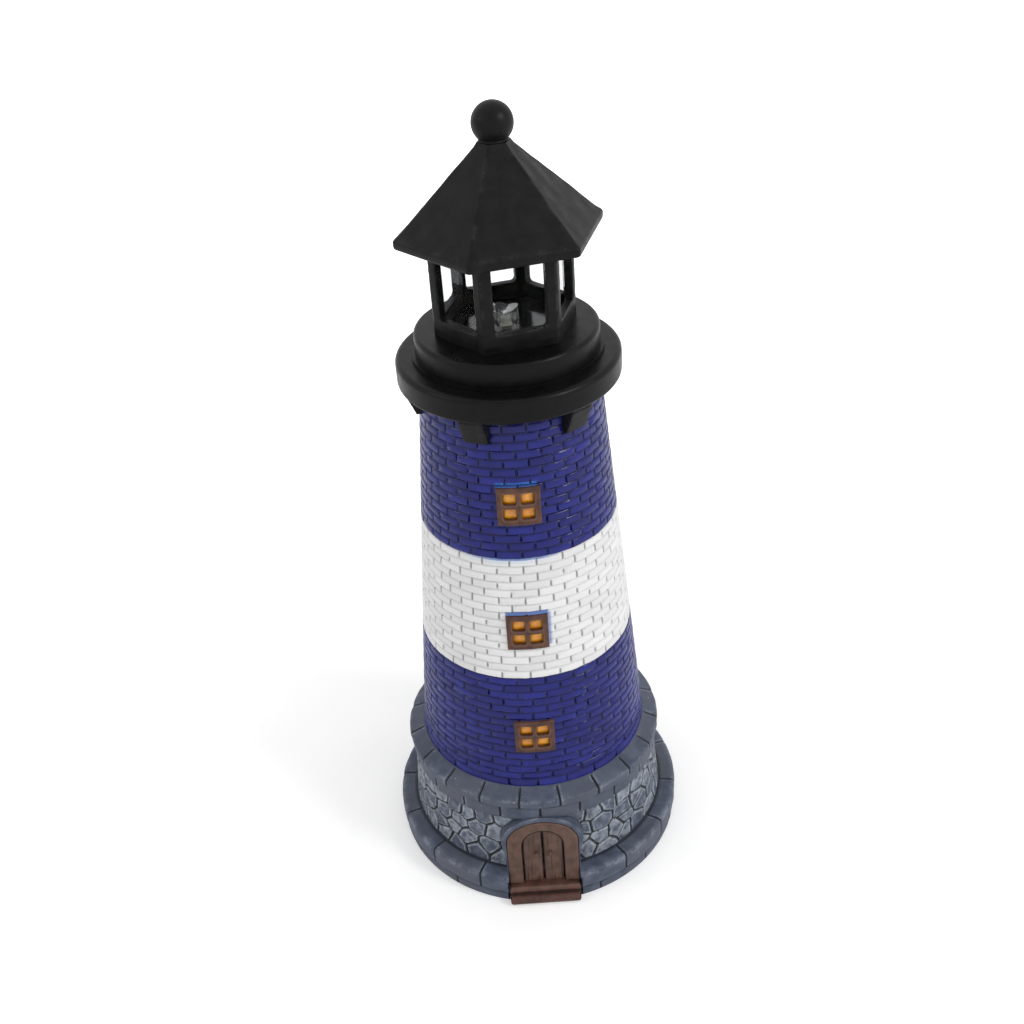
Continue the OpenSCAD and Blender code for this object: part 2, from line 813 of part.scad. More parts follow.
// Upper drum of the gallery with its spigot and screw bosses
module gallery_drum() {
  spigot_r = gallery_cavity_r - glue_gap;
  color([0.09, 0.09, 0.10])
    difference() {
      union() {
        rotate_extrude()
          polygon(concat(
            [[drum_in_r, spigot_z], [spigot_r, spigot_z], [spigot_r, drum_z], [drum_r, drum_z]],
            arc(drum_r - drum_round, drum_top_z - drum_round, drum_round, 0, 90),
            [[hub_hole_r, drum_top_z], [hub_hole_r, drum_top_z - drum_top_t],
             [drum_in_r, drum_top_z - drum_top_t]]
          ));
        for (turn = boss_turns)
          rotate([0, 0, turn])
            translate([boss_circle_r, 0, chassis_top_z])
              cylinder(h = drum_top_z - drum_top_t / 2 - chassis_top_z, r = boss_r, $fn = 48);
      }
      for (turn = boss_turns)
        rotate([0, 0, turn])
          translate([boss_circle_r, 0, chassis_top_z - eps])
            cylinder(h = chassis_screw_bite + past, r = pilot_r, $fn = 48);
    }
}

// Six-sided prism with a corner at the lantern's azimuth
module hex(radius, height) {
  rotate([0, 0, lantern_turn - 90])
    cylinder(h = height, r = radius, $fn = hex_fn);
}

// Opening between two posts, with round corners, as a prism along +X
module lantern_opening() {
  rotate([90, 0, 90])
    linear_extrude(reach / 2) {
      translate([-opening_w / 2, opening_round])
        square([opening_w, opening_h - 2 * opening_round]);
      translate([-opening_w / 2 + opening_round, 0])
        square([opening_w - 2 * opening_round, opening_h]);
      for (side = [-1, 1], level = [0, 1])
        translate([side * (opening_w / 2 - opening_round),
                   level ? opening_h - opening_round : opening_round])
          circle(opening_round, $fn = 32);
    }
}

// Cage of sill, six corner posts and lintel
module lantern_cage() {
  color([0.10, 0.10, 0.11])
    translate([0, 0, drum_top_z])
      difference() {
        hex(cage_r, cage_h);
        translate([0, 0, -eps])
          hex(cage_in_r, cage_h + 2 * eps);
        for (k = [0:hex_fn - 1])
          rotate([0, 0, lantern_turn - 90 + 60 * k + 30])
            translate([cage_in_r / 2, 0, sill_h])
              lantern_opening();
      }
}

// Clear six-sided sleeve inside the cage
module lantern_glazing() {
  color([0.85, 0.90, 0.92, 0.3])
    translate([0, 0, drum_top_z + floor_t])
      difference() {
        hex(glazing_r, cage_h - floor_t);
        translate([0, 0, -eps])
          hex(glazing_in_r, cage_h);
      }
}

// Glossy floor around the beacon
module lantern_floor() {
  color([0.04, 0.04, 0.05])
    translate([0, 0, drum_top_z])
      difference() {
        hex(glazing_r, floor_t);
        translate([0, 0, -eps])
          cylinder(h = floor_t + 2 * eps, r = hub_hole_r);
      }
}

// Pyramid roof with a fascia, hollow from below
module roof() {
  color([0.10, 0.10, 0.11])
    difference() {
      hull()
        for (k = [0:hex_fn - 1])
          rotate([0, 0, lantern_turn - 90 + 60 * k]) {
            translate([roof_r - roof_round, 0, cage_top_z])
              cylinder(h = fascia_h, r = roof_round, $fn = 16);
            translate([roof_top_r - roof_flat_round, 0, roof_top_z - roof_flat_h])
              cylinder(h = roof_flat_h, r = roof_flat_round, $fn = 16);
          }
      translate([0, 0, cage_top_z - eps])
        hex_taper(roof_hollow_r, roof_hollow_top_r, roof_hollow_h);
      translate([0, 0, roof_top_z - stud_h - glue_gap])
        cylinder(h = stud_h + past, r = stud_r + glue_gap / 2, $fn = 48);
    }
}

// Six-sided taper with a corner at the lantern's azimuth
module hex_taper(radius, top_radius, height) {
  rotate([0, 0, lantern_turn - 90])
    cylinder(h = height, r1 = radius, r2 = top_radius, $fn = hex_fn);
}

// Ball cut flat below, on a thin collar with a stud
module finial() {
  ball_z = collar_h + sqrt(pow(ball_r, 2) - pow(ball_seat_r, 2));
  color([0.11, 0.11, 0.12])
    translate([0, 0, roof_top_z])
      union() {
        intersection() {
          translate([0, 0, ball_z])
            sphere(ball_r);
          cylinder(h = ball_z + ball_r + past, r = ball_r + past);
        }
        rotate_extrude()
          polygon([[0, -stud_h], [stud_r, -stud_h], [stud_r, 0], [collar_r, 0], [collar_r, collar_h],
                   [0, collar_h + collar_bury]]);
      }
}

// Plate that carries the fixed post, the motor and the board
module chassis_plate() {
  color([0.75, 0.75, 0.72])
    difference() {
      union() {
        translate([0, 0, chassis_z])
          cylinder(h = chassis_t, r = chassis_r);
        translate([0, 0, chassis_top_z - eps])
          cylinder(h = hub_boss_h + eps, r = hub_r);
        translate([0, 0, chassis_top_z - eps])
          cylinder(h = led_z - chassis_top_z + eps, r = post_r);
        for (side = [-1, 1])
          translate([board_post_x, side * board_post_y, board_z + board_t])
            cylinder(h = board_drop + eps, r = board_post_r, $fn = 48);
      }
      translate([0, 0, chassis_z - past])
        cylinder(h = led_z - chassis_z + 2 * past, r = lead_bore_r, $fn = 48);
      translate([motor_x, 0, chassis_z - eps])
        cylinder(h = chassis_t + 2 * eps, r = motor_boss_r + glue_gap, $fn = 48);
      for (turn = boss_turns)
        rotate([0, 0, turn])
          translate([boss_circle_r, 0, chassis_z - eps])
            cylinder(h = chassis_t + 2 * eps, r = screw_r + glue_gap, $fn = 48);
      for (side = [-1, 1])
        translate([board_post_x, side * board_post_y, board_z])
          cylinder(h = board_t + board_screw_bite + past, r = pilot_r, $fn = 48);
    }
}

// Screw with its head down, its seat at z = 0
module screw(length) {
  cylinder(h = length, r = screw_r, $fn = 32);
  translate([0, 0, -screw_head_h])
    cylinder(h = screw_head_h, r = screw_head_r, $fn = 32);
}

// Screws that clamp the chassis to the drum
module chassis_screws() {
  color([0.62, 0.62, 0.64])
    for (turn = boss_turns)
      rotate([0, 0, turn])
        translate([boss_circle_r, 0, chassis_z])
          screw(chassis_t + chassis_screw_bite);
}

// Motor can with two flats and a boss
module gear_motor() {
  color([0.68, 0.69, 0.70])
    translate([motor_x, 0, chassis_z])
      difference() {
        union() {
          intersection() {
            translate([0, 0, -motor_l])
              cylinder(h = motor_l, r = motor_r);
            translate([-motor_flats / 2, -reach / 2, -motor_l])
              cube([motor_flats, reach, motor_l]);
          }
          translate([0, 0, -eps])
            cylinder(h = motor_boss_h + eps, r = motor_boss_r, $fn = 48);
        }
        translate([0, 0, -shaft_sunk - glue_gap])
          cylinder(h = shaft_sunk + motor_boss_h + past, r = shaft_r + run_fit, $fn = 48);
      }
}

// Output shaft of the motor
module motor_shaft() {
  color([0.80, 0.81, 0.82])
    translate([motor_x, 0, chassis_z - shaft_sunk])
      cylinder(h = gear_z + gear_t + shaft_over - chassis_z + shaft_sunk, r = shaft_r, $fn = 48);
}

// Small gear on the motor shaft
module drive_pinion() {
  color([0.90, 0.88, 0.80])
    translate([motor_x, 0, gear_z])
      difference() {
        linear_extrude(gear_t)
          rotate(180)
            polygon(gear_points(pinion_teeth));
        translate([0, 0, -eps])
          cylinder(h = gear_t + 2 * eps, r = shaft_r + shaft_grip, $fn = 48);
      }
}

// Large gear with the hollow hub that carries the lens
module turntable_gear() {
  color([0.90, 0.88, 0.80])
    difference() {
      union() {
        translate([0, 0, gear_z])
          linear_extrude(gear_t)
            rotate(180 / gear_teeth)
              polygon(gear_points(gear_teeth));
        translate([0, 0, gear_z])
          cylinder(h = hub_top_z - gear_z, r = hub_r);
      }
      translate([0, 0, gear_z - eps])
        cylinder(h = hub_top_z - gear_z + 2 * eps, r = post_r + run_fit);
    }
}

// Clear lens, hollow below for the LED, notched above to throw two beams sideways
module beacon_lens() {
  notch_angle = atan(lens_notch / lens_r);
  color([0.88, 0.93, 0.96, 0.5])
    translate([0, 0, hub_top_z])
      difference() {
        cylinder(h = lens_h, r = lens_r);
        translate([0, 0, -eps])
          cylinder(h = led_h + slide_fit + eps, r = led_bore_r, $fn = 48);
        for (side = [0, 180])
          rotate([0, 0, lantern_turn + side])
            translate([0, 0, lens_h - lens_notch])
              rotate([0, -notch_angle, 0])
                translate([0, -2 * lens_r, 0])
                  cube([3 * lens_r, 4 * lens_r, 2 * lens_r]);
      }
}

// LED with a flange, a round dome and two leads
module beacon_led() {
  color([0.95, 0.95, 0.88])
    translate([0, 0, led_z])
      union() {
        cylinder(h = 1, r = led_r + led_flange, $fn = 48);
        cylinder(h = led_h - led_r, r = led_r, $fn = 48);
        translate([0, 0, led_h - led_r])
          sphere(led_r, $fn = 48);
        for (side = [-1, 1])
          translate([side * lead_x, 0, board_z + board_t - led_z])
            cylinder(h = led_z - board_z - board_t + led_lead_tail, r = led_lead_r, $fn = 24);
      }
}

// Board with one chip and one capacitor, its straight edge beside the motor
module circuit_board() {
  color([0.10, 0.36, 0.18])
    translate([0, 0, board_z])
      difference() {
        union() {
          intersection() {
            cylinder(h = board_t, r = board_r);
            translate([-reach, -reach / 2, 0])
              cube([reach + board_edge_x, reach, board_t]);
          }
          translate([chip_x - chip[0] / 2, -chip[1] / 2, board_t - eps])
            cube(chip + [0, 0, eps]);
          translate([capacitor_x, capacitor_y, board_t - eps])
            cylinder(h = capacitor_h + eps, r = capacitor_r, $fn = 48);
        }
        for (side = [-1, 1])
          translate([board_post_x, side * board_post_y, -eps])
            cylinder(h = board_t + 2 * eps, r = screw_r + glue_gap, $fn = 48);
      }
}

// Screws that hold the board to the chassis posts
module board_screws() {
  color([0.62, 0.62, 0.64])
    for (side = [-1, 1])
      translate([board_post_x, side * board_post_y, board_z])
        screw(board_t + board_screw_bite);
}

// Short leads from the motor's side to the board's edge
module motor_leads() {
  color([0.65, 0.10, 0.10])
    for (side = [-1, 1])
      translate([board_edge_x, side * motor_lead_y, board_z + board_t / 2])
        rotate([0, 90, 0])
          cylinder(h = motor_x - motor_flats / 2 - board_edge_x, r = lead_r, $fn = 24);
}

// Straight leads from the battery contacts to the board
module supply_leads() {
  color([0.65, 0.10, 0.10])
    for (side = [-1, 1])
      translate([0, side * cell_y, case_disc_z])
        cylinder(h = board_z - case_disc_z, r = lead_r, $fn = 24);
}

// Rounded outline round the pair of cells
module pair_outline(radius) {
  translate([-radius, -cell_y])
    square([2 * radius, 2 * cell_y]);
  for (side = [-1, 1])
    translate([0, side * cell_y])
      circle(radius);
}

// Disc that closes the skirt, with the battery bay below it
module battery_case() {
  color([0.12, 0.12, 0.13])
    difference() {
      union() {
        translate([0, 0, case_disc_z])
          cylinder(h = case_disc_t, r = skirt_r);
        translate([0, 0, case_z])
          linear_extrude(case_disc_z - case_z + eps)
            pair_outline(case_r);
      }
      translate([0, 0, case_z - eps])
        linear_extrude(case_disc_z - case_z + eps)
          pair_outline(bay_r);
      for (side = [-1, 1])
        translate([0, side * cell_y, case_disc_z - past])
          cylinder(h = case_disc_t + 2 * past, r = lead_r + glue_gap, $fn = 24);
      for (turn = case_screw_turns)
        rotate([0, 0, turn])
          translate([case_screw_r, 0, case_disc_z - eps])
            cylinder(h = case_disc_t + 2 * eps, r = screw_r + glue_gap, $fn = 48);
      translate([switch_x - slider_w / 2 - slide_fit, -(slider_l + switch_travel) / 2 - slide_fit,
                 case_disc_z - eps])
        cube([slider_w + 2 * slide_fit, slider_l + switch_travel + 2 * slide_fit, case_disc_t + 2 * eps]);
    }
}

// Screws that hold the battery case in the skirt
module case_screws() {
  color([0.62, 0.62, 0.64])
    for (turn = case_screw_turns)
      rotate([0, 0, turn])
        translate([case_screw_r, 0, case_disc_z])
          screw(case_disc_t + case_boss_h - case_screw_short);
}

// Two contacts on the ceiling of the battery bay
module contact_plates() {
  color([0.78, 0.78, 0.75])
    for (side = [-1, 1])
      translate([0, side * cell_y, case_disc_z - contact_t])
        cylinder(h = contact_t, r = contact_r);
}

// Two cells with their raised terminals
module battery_cells() {
  nub_r = 1.9;
  nub_h = 0.8;
  color([0.62, 0.50, 0.24])
    for (side = [-1, 1])
      translate([0, side * cell_y, 0]) {
        translate([0, 0, cell_z + (side > 0 ? 0 : nub_h)])
          cylinder(h = cell_l - nub_h, r = cell_r);
        translate([0, 0, side > 0 ? cell_top_z - nub_h - eps : cell_z])
          cylinder(h = nub_h + eps, r = nub_r);
      }
}

// Push-in cover under the cells
module battery_cover() {
  color([0.12, 0.12, 0.13])
    union() {
      translate([0, 0, cover_z])
        linear_extrude(cover_t)
          pair_outline(case_r);
      translate([0, 0, cover_z + cover_t - eps])
        linear_extrude(cover_spigot_h + eps)
          pair_outline(bay_r - slide_fit / 2);
    }
}

// Strip that joins the two cells at the cover
module contact_bridge() {
  color([0.78, 0.78, 0.75])
    translate([0, 0, bridge_z])
      linear_extrude(contact_t)
        pair_outline(contact_r);
}

// Body of the slide switch, open below for the slider
module switch_body() {
  color([0.70, 0.71, 0.72])
    translate([switch_x, 0, skirt_z])
      difference() {
        translate([-switch_w / 2, -switch_l / 2, 0])
          cube([switch_w, switch_l, switch_h]);
        translate([-slider_base[0] / 2 - slide_fit, -(slider_base[1] + switch_travel) / 2 - slide_fit, -eps])
          cube([slider_base[0] + 2 * slide_fit, slider_base[1] + switch_travel + 2 * slide_fit,
                slider_base[2] + slide_fit]);
      }
}

// Slider with its thumb piece, at the off end of its travel
module switch_slider() {
  color([0.15, 0.15, 0.16])
    translate([switch_x, -switch_travel / 2, 0]) {
      translate([-slider_base[0] / 2, -slider_base[1] / 2, skirt_z + eps])
        cube(slider_base);
      translate([-slider_w / 2, -slider_l / 2, case_disc_z - slider_out])
        cube([slider_w, slider_l, case_disc_t + slider_out + slider_base[2] / 2]);
    }
}

ground_ring();
plinth_wall();
coping_ring();
tower_shell();
corbels();
window_frame_lower();
window_frame_middle();
window_frame_upper();
window_panes_lower();
window_panes_middle();
window_panes_upper();
door_surround();
door_leaf_left();
door_leaf_right();
door_knobs();
door_step();
gallery_housing();
seal_ring();
gallery_drum();
lantern_cage();
lantern_glazing();
lantern_floor();
roof();
finial();
chassis_plate();
chassis_screws();
gear_motor();
motor_shaft();
drive_pinion();
turntable_gear();
beacon_lens();
beacon_led();
circuit_board();
board_screws();
motor_leads();
supply_leads();
battery_case();
case_screws();
contact_plates();
battery_cells();
battery_cover();
contact_bridge();
switch_body();
switch_slider();
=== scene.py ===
# %% [markdown]
# # A garden lighthouse with a turning beacon
# The imported part is the fixed frame of this scene. It holds every separate piece at its real
# size, in metres, standing on z = 0 with the door towards -Y. Painted and cast pieces are made
# again here as fine surfaces, and the hidden works keep their imported shapes and get finishes.

# %% Load the frame
import bpy
import bmesh
import numpy as np
from mathutils import Matrix, Vector


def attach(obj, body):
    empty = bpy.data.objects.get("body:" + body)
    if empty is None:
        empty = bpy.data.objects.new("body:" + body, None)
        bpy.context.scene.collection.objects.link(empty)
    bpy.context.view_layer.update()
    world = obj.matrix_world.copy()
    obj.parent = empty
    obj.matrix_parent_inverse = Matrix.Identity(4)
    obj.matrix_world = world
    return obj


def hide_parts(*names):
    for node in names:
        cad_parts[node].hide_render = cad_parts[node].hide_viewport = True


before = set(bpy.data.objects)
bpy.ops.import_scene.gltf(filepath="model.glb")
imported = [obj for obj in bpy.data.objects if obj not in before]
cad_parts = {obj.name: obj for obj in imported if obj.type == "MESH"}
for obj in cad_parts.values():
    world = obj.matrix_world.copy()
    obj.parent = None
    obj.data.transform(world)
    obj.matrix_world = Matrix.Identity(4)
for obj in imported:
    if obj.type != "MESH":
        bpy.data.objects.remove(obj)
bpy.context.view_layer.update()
MM = 0.001

# %% [markdown]
# ## The camera
# The ornament was photographed from above, a little tilted. A picture is matched by a camera at
# the same place with the same lens. Its three axes are found from the downward pitch, the small
# yaw and the roll, so no shift of the lens is needed.

# %% Place the camera
PITCH, YAW, ROLL = 0.58468, -0.00725, -0.07366
EYE = (0.0, -0.3183093, 0.3371013)
FOCAL_PX, PICTURE_PX, SENSOR_MM = 1205.9054, 1024.0, 36.0
ahead = np.array([np.sin(YAW) * np.cos(PITCH), np.cos(YAW) * np.cos(PITCH), -np.sin(PITCH)])
level = np.array([np.cos(YAW), -np.sin(YAW), 0.0])
above = np.cross(level, ahead)
side = np.cos(ROLL) * level + np.sin(ROLL) * above
upward = -np.sin(ROLL) * level + np.cos(ROLL) * above
view = Matrix.Identity(4)
for axis, column in enumerate((side, upward, -ahead)):
    for row in range(3):
        view[row][axis] = column[row]
view.translation = EYE
camera = bpy.data.objects.new("camera", bpy.data.cameras.new("camera"))
camera.matrix_world = view
camera.data.sensor_width = SENSOR_MM
camera.data.lens = FOCAL_PX * SENSOR_MM / PICTURE_PX
camera.data.clip_start, camera.data.clip_end = 0.01, 20.0
bpy.context.scene.collection.objects.link(camera)
bpy.context.scene.camera = camera
print("lens:", round(camera.data.lens, 3), "mm")

# %% [markdown]
# ## From arrays to pieces
# A surface here is an array of points, one row for each height and one column for each azimuth.
# Azimuth 0 is the door's side and grows to the right. It could be drawn point by point, but an
# array follows a formula everywhere at once. Three helpers turn such arrays into closed solids:
# one closes a loop of rows, one draws both ends together as caps, and one puts a wall between
# an outer and an inner sheet and leaves holes where cells are dropped.

# %% Smooth steps, bells, waves and places round the axis
def smooth(low, high, x):
    """3t^2 - 2t^3 with t = (x - low) / (high - low), held between 0 and 1."""
    t = np.clip((np.asarray(x, float) - low) / (high - low), 0.0, 1.0)
    return t * t * (3.0 - 2.0 * t)


def bell(x, centre, width, power=2):
    """exp(-((x - centre) / width)^power): 1 at the centre and nearly 0 two widths away."""
    return np.exp(-((x - centre) / width) ** power)


def waves(points, size, seed, count=7):
    """Soft noise in -1..1: a mean of sines with random wave vectors about 2 pi / size long."""
    rng = np.random.default_rng(seed)
    k = rng.normal(size=(count, 3))
    k *= (2.0 * np.pi / size * rng.uniform(0.6, 1.5, count) / np.linalg.norm(k, axis=1))[:, None]
    return np.sin(points @ k.T + rng.uniform(0.0, 6.283, count)).sum(-1) / np.sqrt(count) / 1.4


def around(azimuth, r, z):
    """(r sin a, -r cos a, z) for azimuths in degrees."""
    a, r, z = np.broadcast_arrays(np.radians(azimuth), r, z)
    return np.stack([r * np.sin(a), -r * np.cos(a), z], -1)


def off_by(azimuth, centre):
    """Signed angle from centre to azimuth, in -180..180 degrees."""
    return (np.asarray(azimuth) - centre + 180.0) % 360.0 - 180.0


# %% Profiles: stretches of points and arcs, turned round the axis
def arc(cr, cz, r, start, stop, steps):
    """Points of an arc about (cr, cz), angles in degrees."""
    t = np.radians(np.linspace(start, stop, steps))
    return np.stack([cr + r * np.cos(t), cz + r * np.sin(t)], 1)


def line_of(*stretches):
    """One line of (r, z) points from single points and arcs."""
    return np.concatenate([np.reshape(stretch, (-1, 2)) for stretch in stretches]).astype(float)


def loop_normals(profile):
    """Outward normals of a closed profile that runs counter-clockwise in (r, z)."""
    along = np.roll(profile, -1, 0) - np.roll(profile, 1, 0)
    normal = np.stack([along[:, 1], -along[:, 0]], 1)
    return normal / np.linalg.norm(normal, axis=1)[:, None]


def turn_profile(azimuth, profile, shift=0.0):
    """The profile turned round the axis, each point moved by shift along the profile's normal."""
    normals = loop_normals(profile)
    return around(azimuth, profile[:, :1] + shift * normals[:, :1], profile[:, 1:] + shift * normals[:, 1:])


# %% Closed solids from sheets of points
def looped(points):
    """Rows are joined last to first and columns too; facets are (i, j), (i, j+1), (i+1, j+1), (i+1, j)."""
    rows, cols = points.shape[:2]
    i, j = np.mgrid[0:rows, 0:cols]
    i, j = i.ravel(), j.ravel()
    k, l = (i + 1) % rows, (j + 1) % cols
    return points.reshape(-1, 3), np.stack([i * cols + j, i * cols + l, k * cols + l, k * cols + j], 1)


def revolved(points):
    """Rows stay open at both ends, which are poles or meet: a sheet that closes only round the axis."""
    rows, cols = points.shape[:2]
    flat, quads = looped(points)
    return flat, quads[: (rows - 1) * cols]


def tube(points):
    """Closed rings of points carried along a path, each end drawn together to its middle."""
    caps = [np.repeat(points[e].mean(0)[None, None], points.shape[1], 1) for e in (0, -1)]
    return revolved(np.concatenate([caps[0], points, caps[1]]))


def walled(outer, inner, keep=None, wrap=True):
    """Outer sheet, inner sheet turned round, and a rim wherever a kept cell has no kept neighbour."""
    rows, cols = outer.shape[:2]
    cells = cols if wrap else cols - 1
    keep = np.ones((rows - 1, cells), bool) if keep is None else keep
    n = rows * cols
    grid = np.zeros((rows + 1, cells + 2), bool)
    grid[1:-1, 1:-1] = keep
    if wrap:
        grid[1:-1, 0], grid[1:-1, -1] = keep[:, -1], keep[:, 0]
    i, j = np.nonzero(keep)
    low, high, left, right = i * cols, (i + 1) * cols, j % cols, (j + 1) % cols
    a, b, c, d = low + left, low + right, high + right, high + left
    quads = [np.stack([a, b, c, d], 1), np.stack([d, c, b, a], 1) + n]
    for beside, p, q in ((grid[i, j + 1], a, b), (grid[i + 2, j + 1], c, d),
                         (grid[i + 1, j + 2], b, c), (grid[i + 1, j], d, a)):
        p, q = p[~beside], q[~beside]
        quads.append(np.stack([q, p, p + n, q + n], 1))
    return np.concatenate([outer.reshape(-1, 3), inner.reshape(-1, 3)]), np.concatenate(quads)


def together(*solids):
    """Several (points, quads) as one."""
    counts = np.cumsum([0] + [len(points) for points, _ in solids])
    quads = [quads + first for (_, quads), first in zip(solids, counts)]
    return np.concatenate([points for points, _ in solids]), np.concatenate(quads)


# %% Masks that fit those solids
def padded(mask, rows, value=0.0):
    """A sheet's mask with the plain rows that close the solid."""
    return np.concatenate([mask, np.full((rows, mask.shape[1]), value)])


def capped(mask):
    """A tube's mask with its first and last rows doubled for the caps."""
    return np.concatenate([mask[:1], mask, mask[-1:]])


def front_only(mask):
    """A walled solid's mask: the outer sheet's values, and 0 on the inner sheet."""
    return np.concatenate([mask.ravel(), 0 * mask.ravel()])


# %% A piece with its material, body and node
def piece(name, solid, slot, body, node, sharp=35.0, merge=True, **masks):
    """Makes the mesh from (points in mm, quads), stores masks as point attributes, and rides it on a body."""
    points, quads = solid
    mesh = bpy.data.meshes.new(name)
    mesh.from_pydata((points * MM).tolist(), [], quads.tolist())
    for title, values in masks.items():
        stored = mesh.attributes.new(title, "FLOAT", "POINT")
        stored.data.foreach_set("value", np.ravel(values).astype(np.float32))
    if merge:
        work = bmesh.new()
        work.from_mesh(mesh)
        bmesh.ops.remove_doubles(work, verts=work.verts, dist=1e-6)
        bmesh.ops.dissolve_degenerate(work, edges=work.edges, dist=1e-7)
        work.to_mesh(mesh)
        work.free()
    mesh.validate()
    mesh.polygons.foreach_set("use_smooth", np.ones(len(mesh.polygons), bool))
    mesh.set_sharp_from_angle(angle=np.radians(sharp))
    mesh.materials.append(bpy.data.materials[slot])
    obj = bpy.data.objects.new(name, mesh)
    bpy.context.scene.collection.objects.link(obj)
    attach(obj, body)
    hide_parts(node)
    print(name, len(mesh.vertices), "points,", len(mesh.polygons), "faces")


# %% [markdown]
# ## Finishes
# Real castings are never one flat colour: the paint is thicker in places, dust sits in the
# joints and raised edges are scuffed. Some paler edges are painted highlight and some dark
# hollows painted shade. Three effects are shared by many finishes, so each is a
# node group that gives out only values, and every material places it with its own scale.

# %% Short ways to write node trees
def add(tree, kind, sockets=(), **settings):
    """Adds a node, sets its properties, and links or sets each of its sockets by name or number."""
    node = tree.nodes.new("ShaderNode" + kind)
    for key, value in settings.items():
        setattr(node, key, value)
    for key, value in dict(sockets).items():
        if isinstance(value, bpy.types.NodeSocket):
            tree.links.new(value, node.inputs[key])
        else:
            node.inputs[key].default_value = value
    return node


def calc(tree, operation, a, b=0.0, c=0.0):
    """One Math node: the operation on a, b and, where it takes three, c."""
    return add(tree, "Math", {0: a, 1: b, 2: c}, operation=operation).outputs[0]


def times(tree, a, b):
    """a times b, which for two masks is where both are 1."""
    return calc(tree, "MULTIPLY", a, b)


def remap(tree, value, low, high, to_low=0.0, to_high=1.0):
    """Smooth step of a value between two bounds."""
    sockets = {"Value": value, "From Min": low, "From Max": high, "To Min": to_low, "To Max": to_high}
    return add(tree, "MapRange", sockets, interpolation_type="SMOOTHSTEP").outputs[0]


def between(tree, value, low, high, soft):
    """1 where the value lies between low and high, with ends that are 2 soft wide."""
    from_low = remap(tree, value, low - soft, low + soft)
    return times(tree, from_low, remap(tree, value, high + soft, high - soft))


# %% Colours
def rgb(r, g, b):
    """A colour picked as 0..255 display values, given to the shader as linear light."""
    c = np.array([r, g, b]) / 255.0
    linear = np.where(c <= 0.04045, c / 12.92, ((c + 0.055) / 1.055) ** 2.4)
    return (*linear.tolist(), 1.0)


def blend(tree, factor, a, b):
    """Colour a where the factor is 0, b where it is 1, and a mix between."""
    return add(tree, "Mix", {0: factor, 6: a, 7: b}, data_type="RGBA").outputs[2]


def tint(tree, colour, paint, where, amount=1.0):
    """Lays a paint over a colour where a mask says, at most by the amount."""
    return blend(tree, where if amount == 1.0 else times(tree, where, amount), colour, paint)


# %% Shared groups and their noise
def group(name, outputs, **inputs):
    """A shader group with a vector and float inputs, which have defaults, and float outputs."""
    tree = bpy.data.node_groups.new(name, "ShaderNodeTree")
    tree.interface.new_socket("Vector", in_out="INPUT", socket_type="NodeSocketVector")
    for title, value in inputs.items():
        socket = tree.interface.new_socket(title, in_out="INPUT", socket_type="NodeSocketFloat")
        socket.default_value = value
    for title in outputs:
        tree.interface.new_socket(title, in_out="OUTPUT", socket_type="NodeSocketFloat")
    return tree, tree.nodes.new("NodeGroupInput").outputs, tree.nodes.new("NodeGroupOutput").inputs


def noise(tree, vector, scale, detail, rough, twist=0.0):
    """Fractal noise about 0.5, with features 1 / scale metres wide."""
    sockets = {"Vector": vector, "Scale": scale, "Detail": detail, "Roughness": rough, "Distortion": twist}
    return add(tree, "TexNoise", sockets).outputs[0]


# %% Cast grain: the soft unevenness of a painted casting
tree, given, out = group("cast_grain", ["Height", "Tone"], Scale=1.0)
fine = noise(tree, given["Vector"], times(tree, given["Scale"], 1400.0), 4.0, 0.6)
broad = noise(tree, given["Vector"], times(tree, given["Scale"], 190.0), 3.0, 0.5)
tree.links.new(calc(tree, "MULTIPLY_ADD", fine, 0.4, times(tree, broad, 0.6)), out["Height"])
tree.links.new(remap(tree, broad, 0.3, 0.7), out["Tone"])

# %% Pinholes: small pits left by air in the mould
tree, given, out = group("pinholes", ["Pits"], Scale=1.0, Rarity=0.8)
cell = add(tree, "TexVoronoi", {"Vector": given["Vector"], "Scale": times(tree, given["Scale"], 520.0)})
chosen = add(tree, "SeparateColor", {0: cell.outputs["Color"]}).outputs[0]
inside = remap(tree, cell.outputs["Distance"], 0.16, 0.06)
tree.links.new(times(tree, inside, calc(tree, "GREATER_THAN", chosen, given["Rarity"])), out["Pits"])

# %% Wood grain: upright streaks pressed into the door's pattern
tree, given, out = group("wood_grain", ["Streak", "Crack"], Scale=1.0)
upright = {0: given["Vector"], 1: (1.0, 1.0, 0.07)}
upright = add(tree, "VectorMath", upright, operation="MULTIPLY").outputs[0]
streak = noise(tree, upright, times(tree, given["Scale"], 1500.0), 5.0, 0.65, 0.4)
tree.links.new(streak, out["Streak"])
tree.links.new(remap(tree, streak, 0.42, 0.34), out["Crack"])
print("shared effects:", [g.name for g in bpy.data.node_groups])


# %% A material starts with its shader, its coordinates and the grain
def effect(tree, name, place, **sockets):
    """One of the shared groups at the object coordinates."""
    node = tree.nodes.new("ShaderNodeGroup")
    node.node_tree = bpy.data.node_groups[name]
    tree.links.new(place, node.inputs["Vector"])
    for key, value in sockets.items():
        node.inputs[key].default_value = value
    return node.outputs


def finish(name, roughness, grain_scale, **sockets):
    """Starts the finish of that name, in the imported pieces' own material or in a new one."""
    material = bpy.data.materials.get(name) or bpy.data.materials.new(name)
    material.use_nodes = True
    tree = material.node_tree
    tree.nodes.clear()
    shader = add(tree, "BsdfPrincipled", {"Roughness": roughness})
    add(tree, "OutputMaterial", {"Surface": shader.outputs[0]})
    for key, value in sockets.items():
        shader.inputs[key.replace("_", " ")].default_value = value
    place = add(tree, "TexCoord").outputs["Object"]
    return tree, shader.inputs, place, effect(tree, "cast_grain", place, Scale=grain_scale)


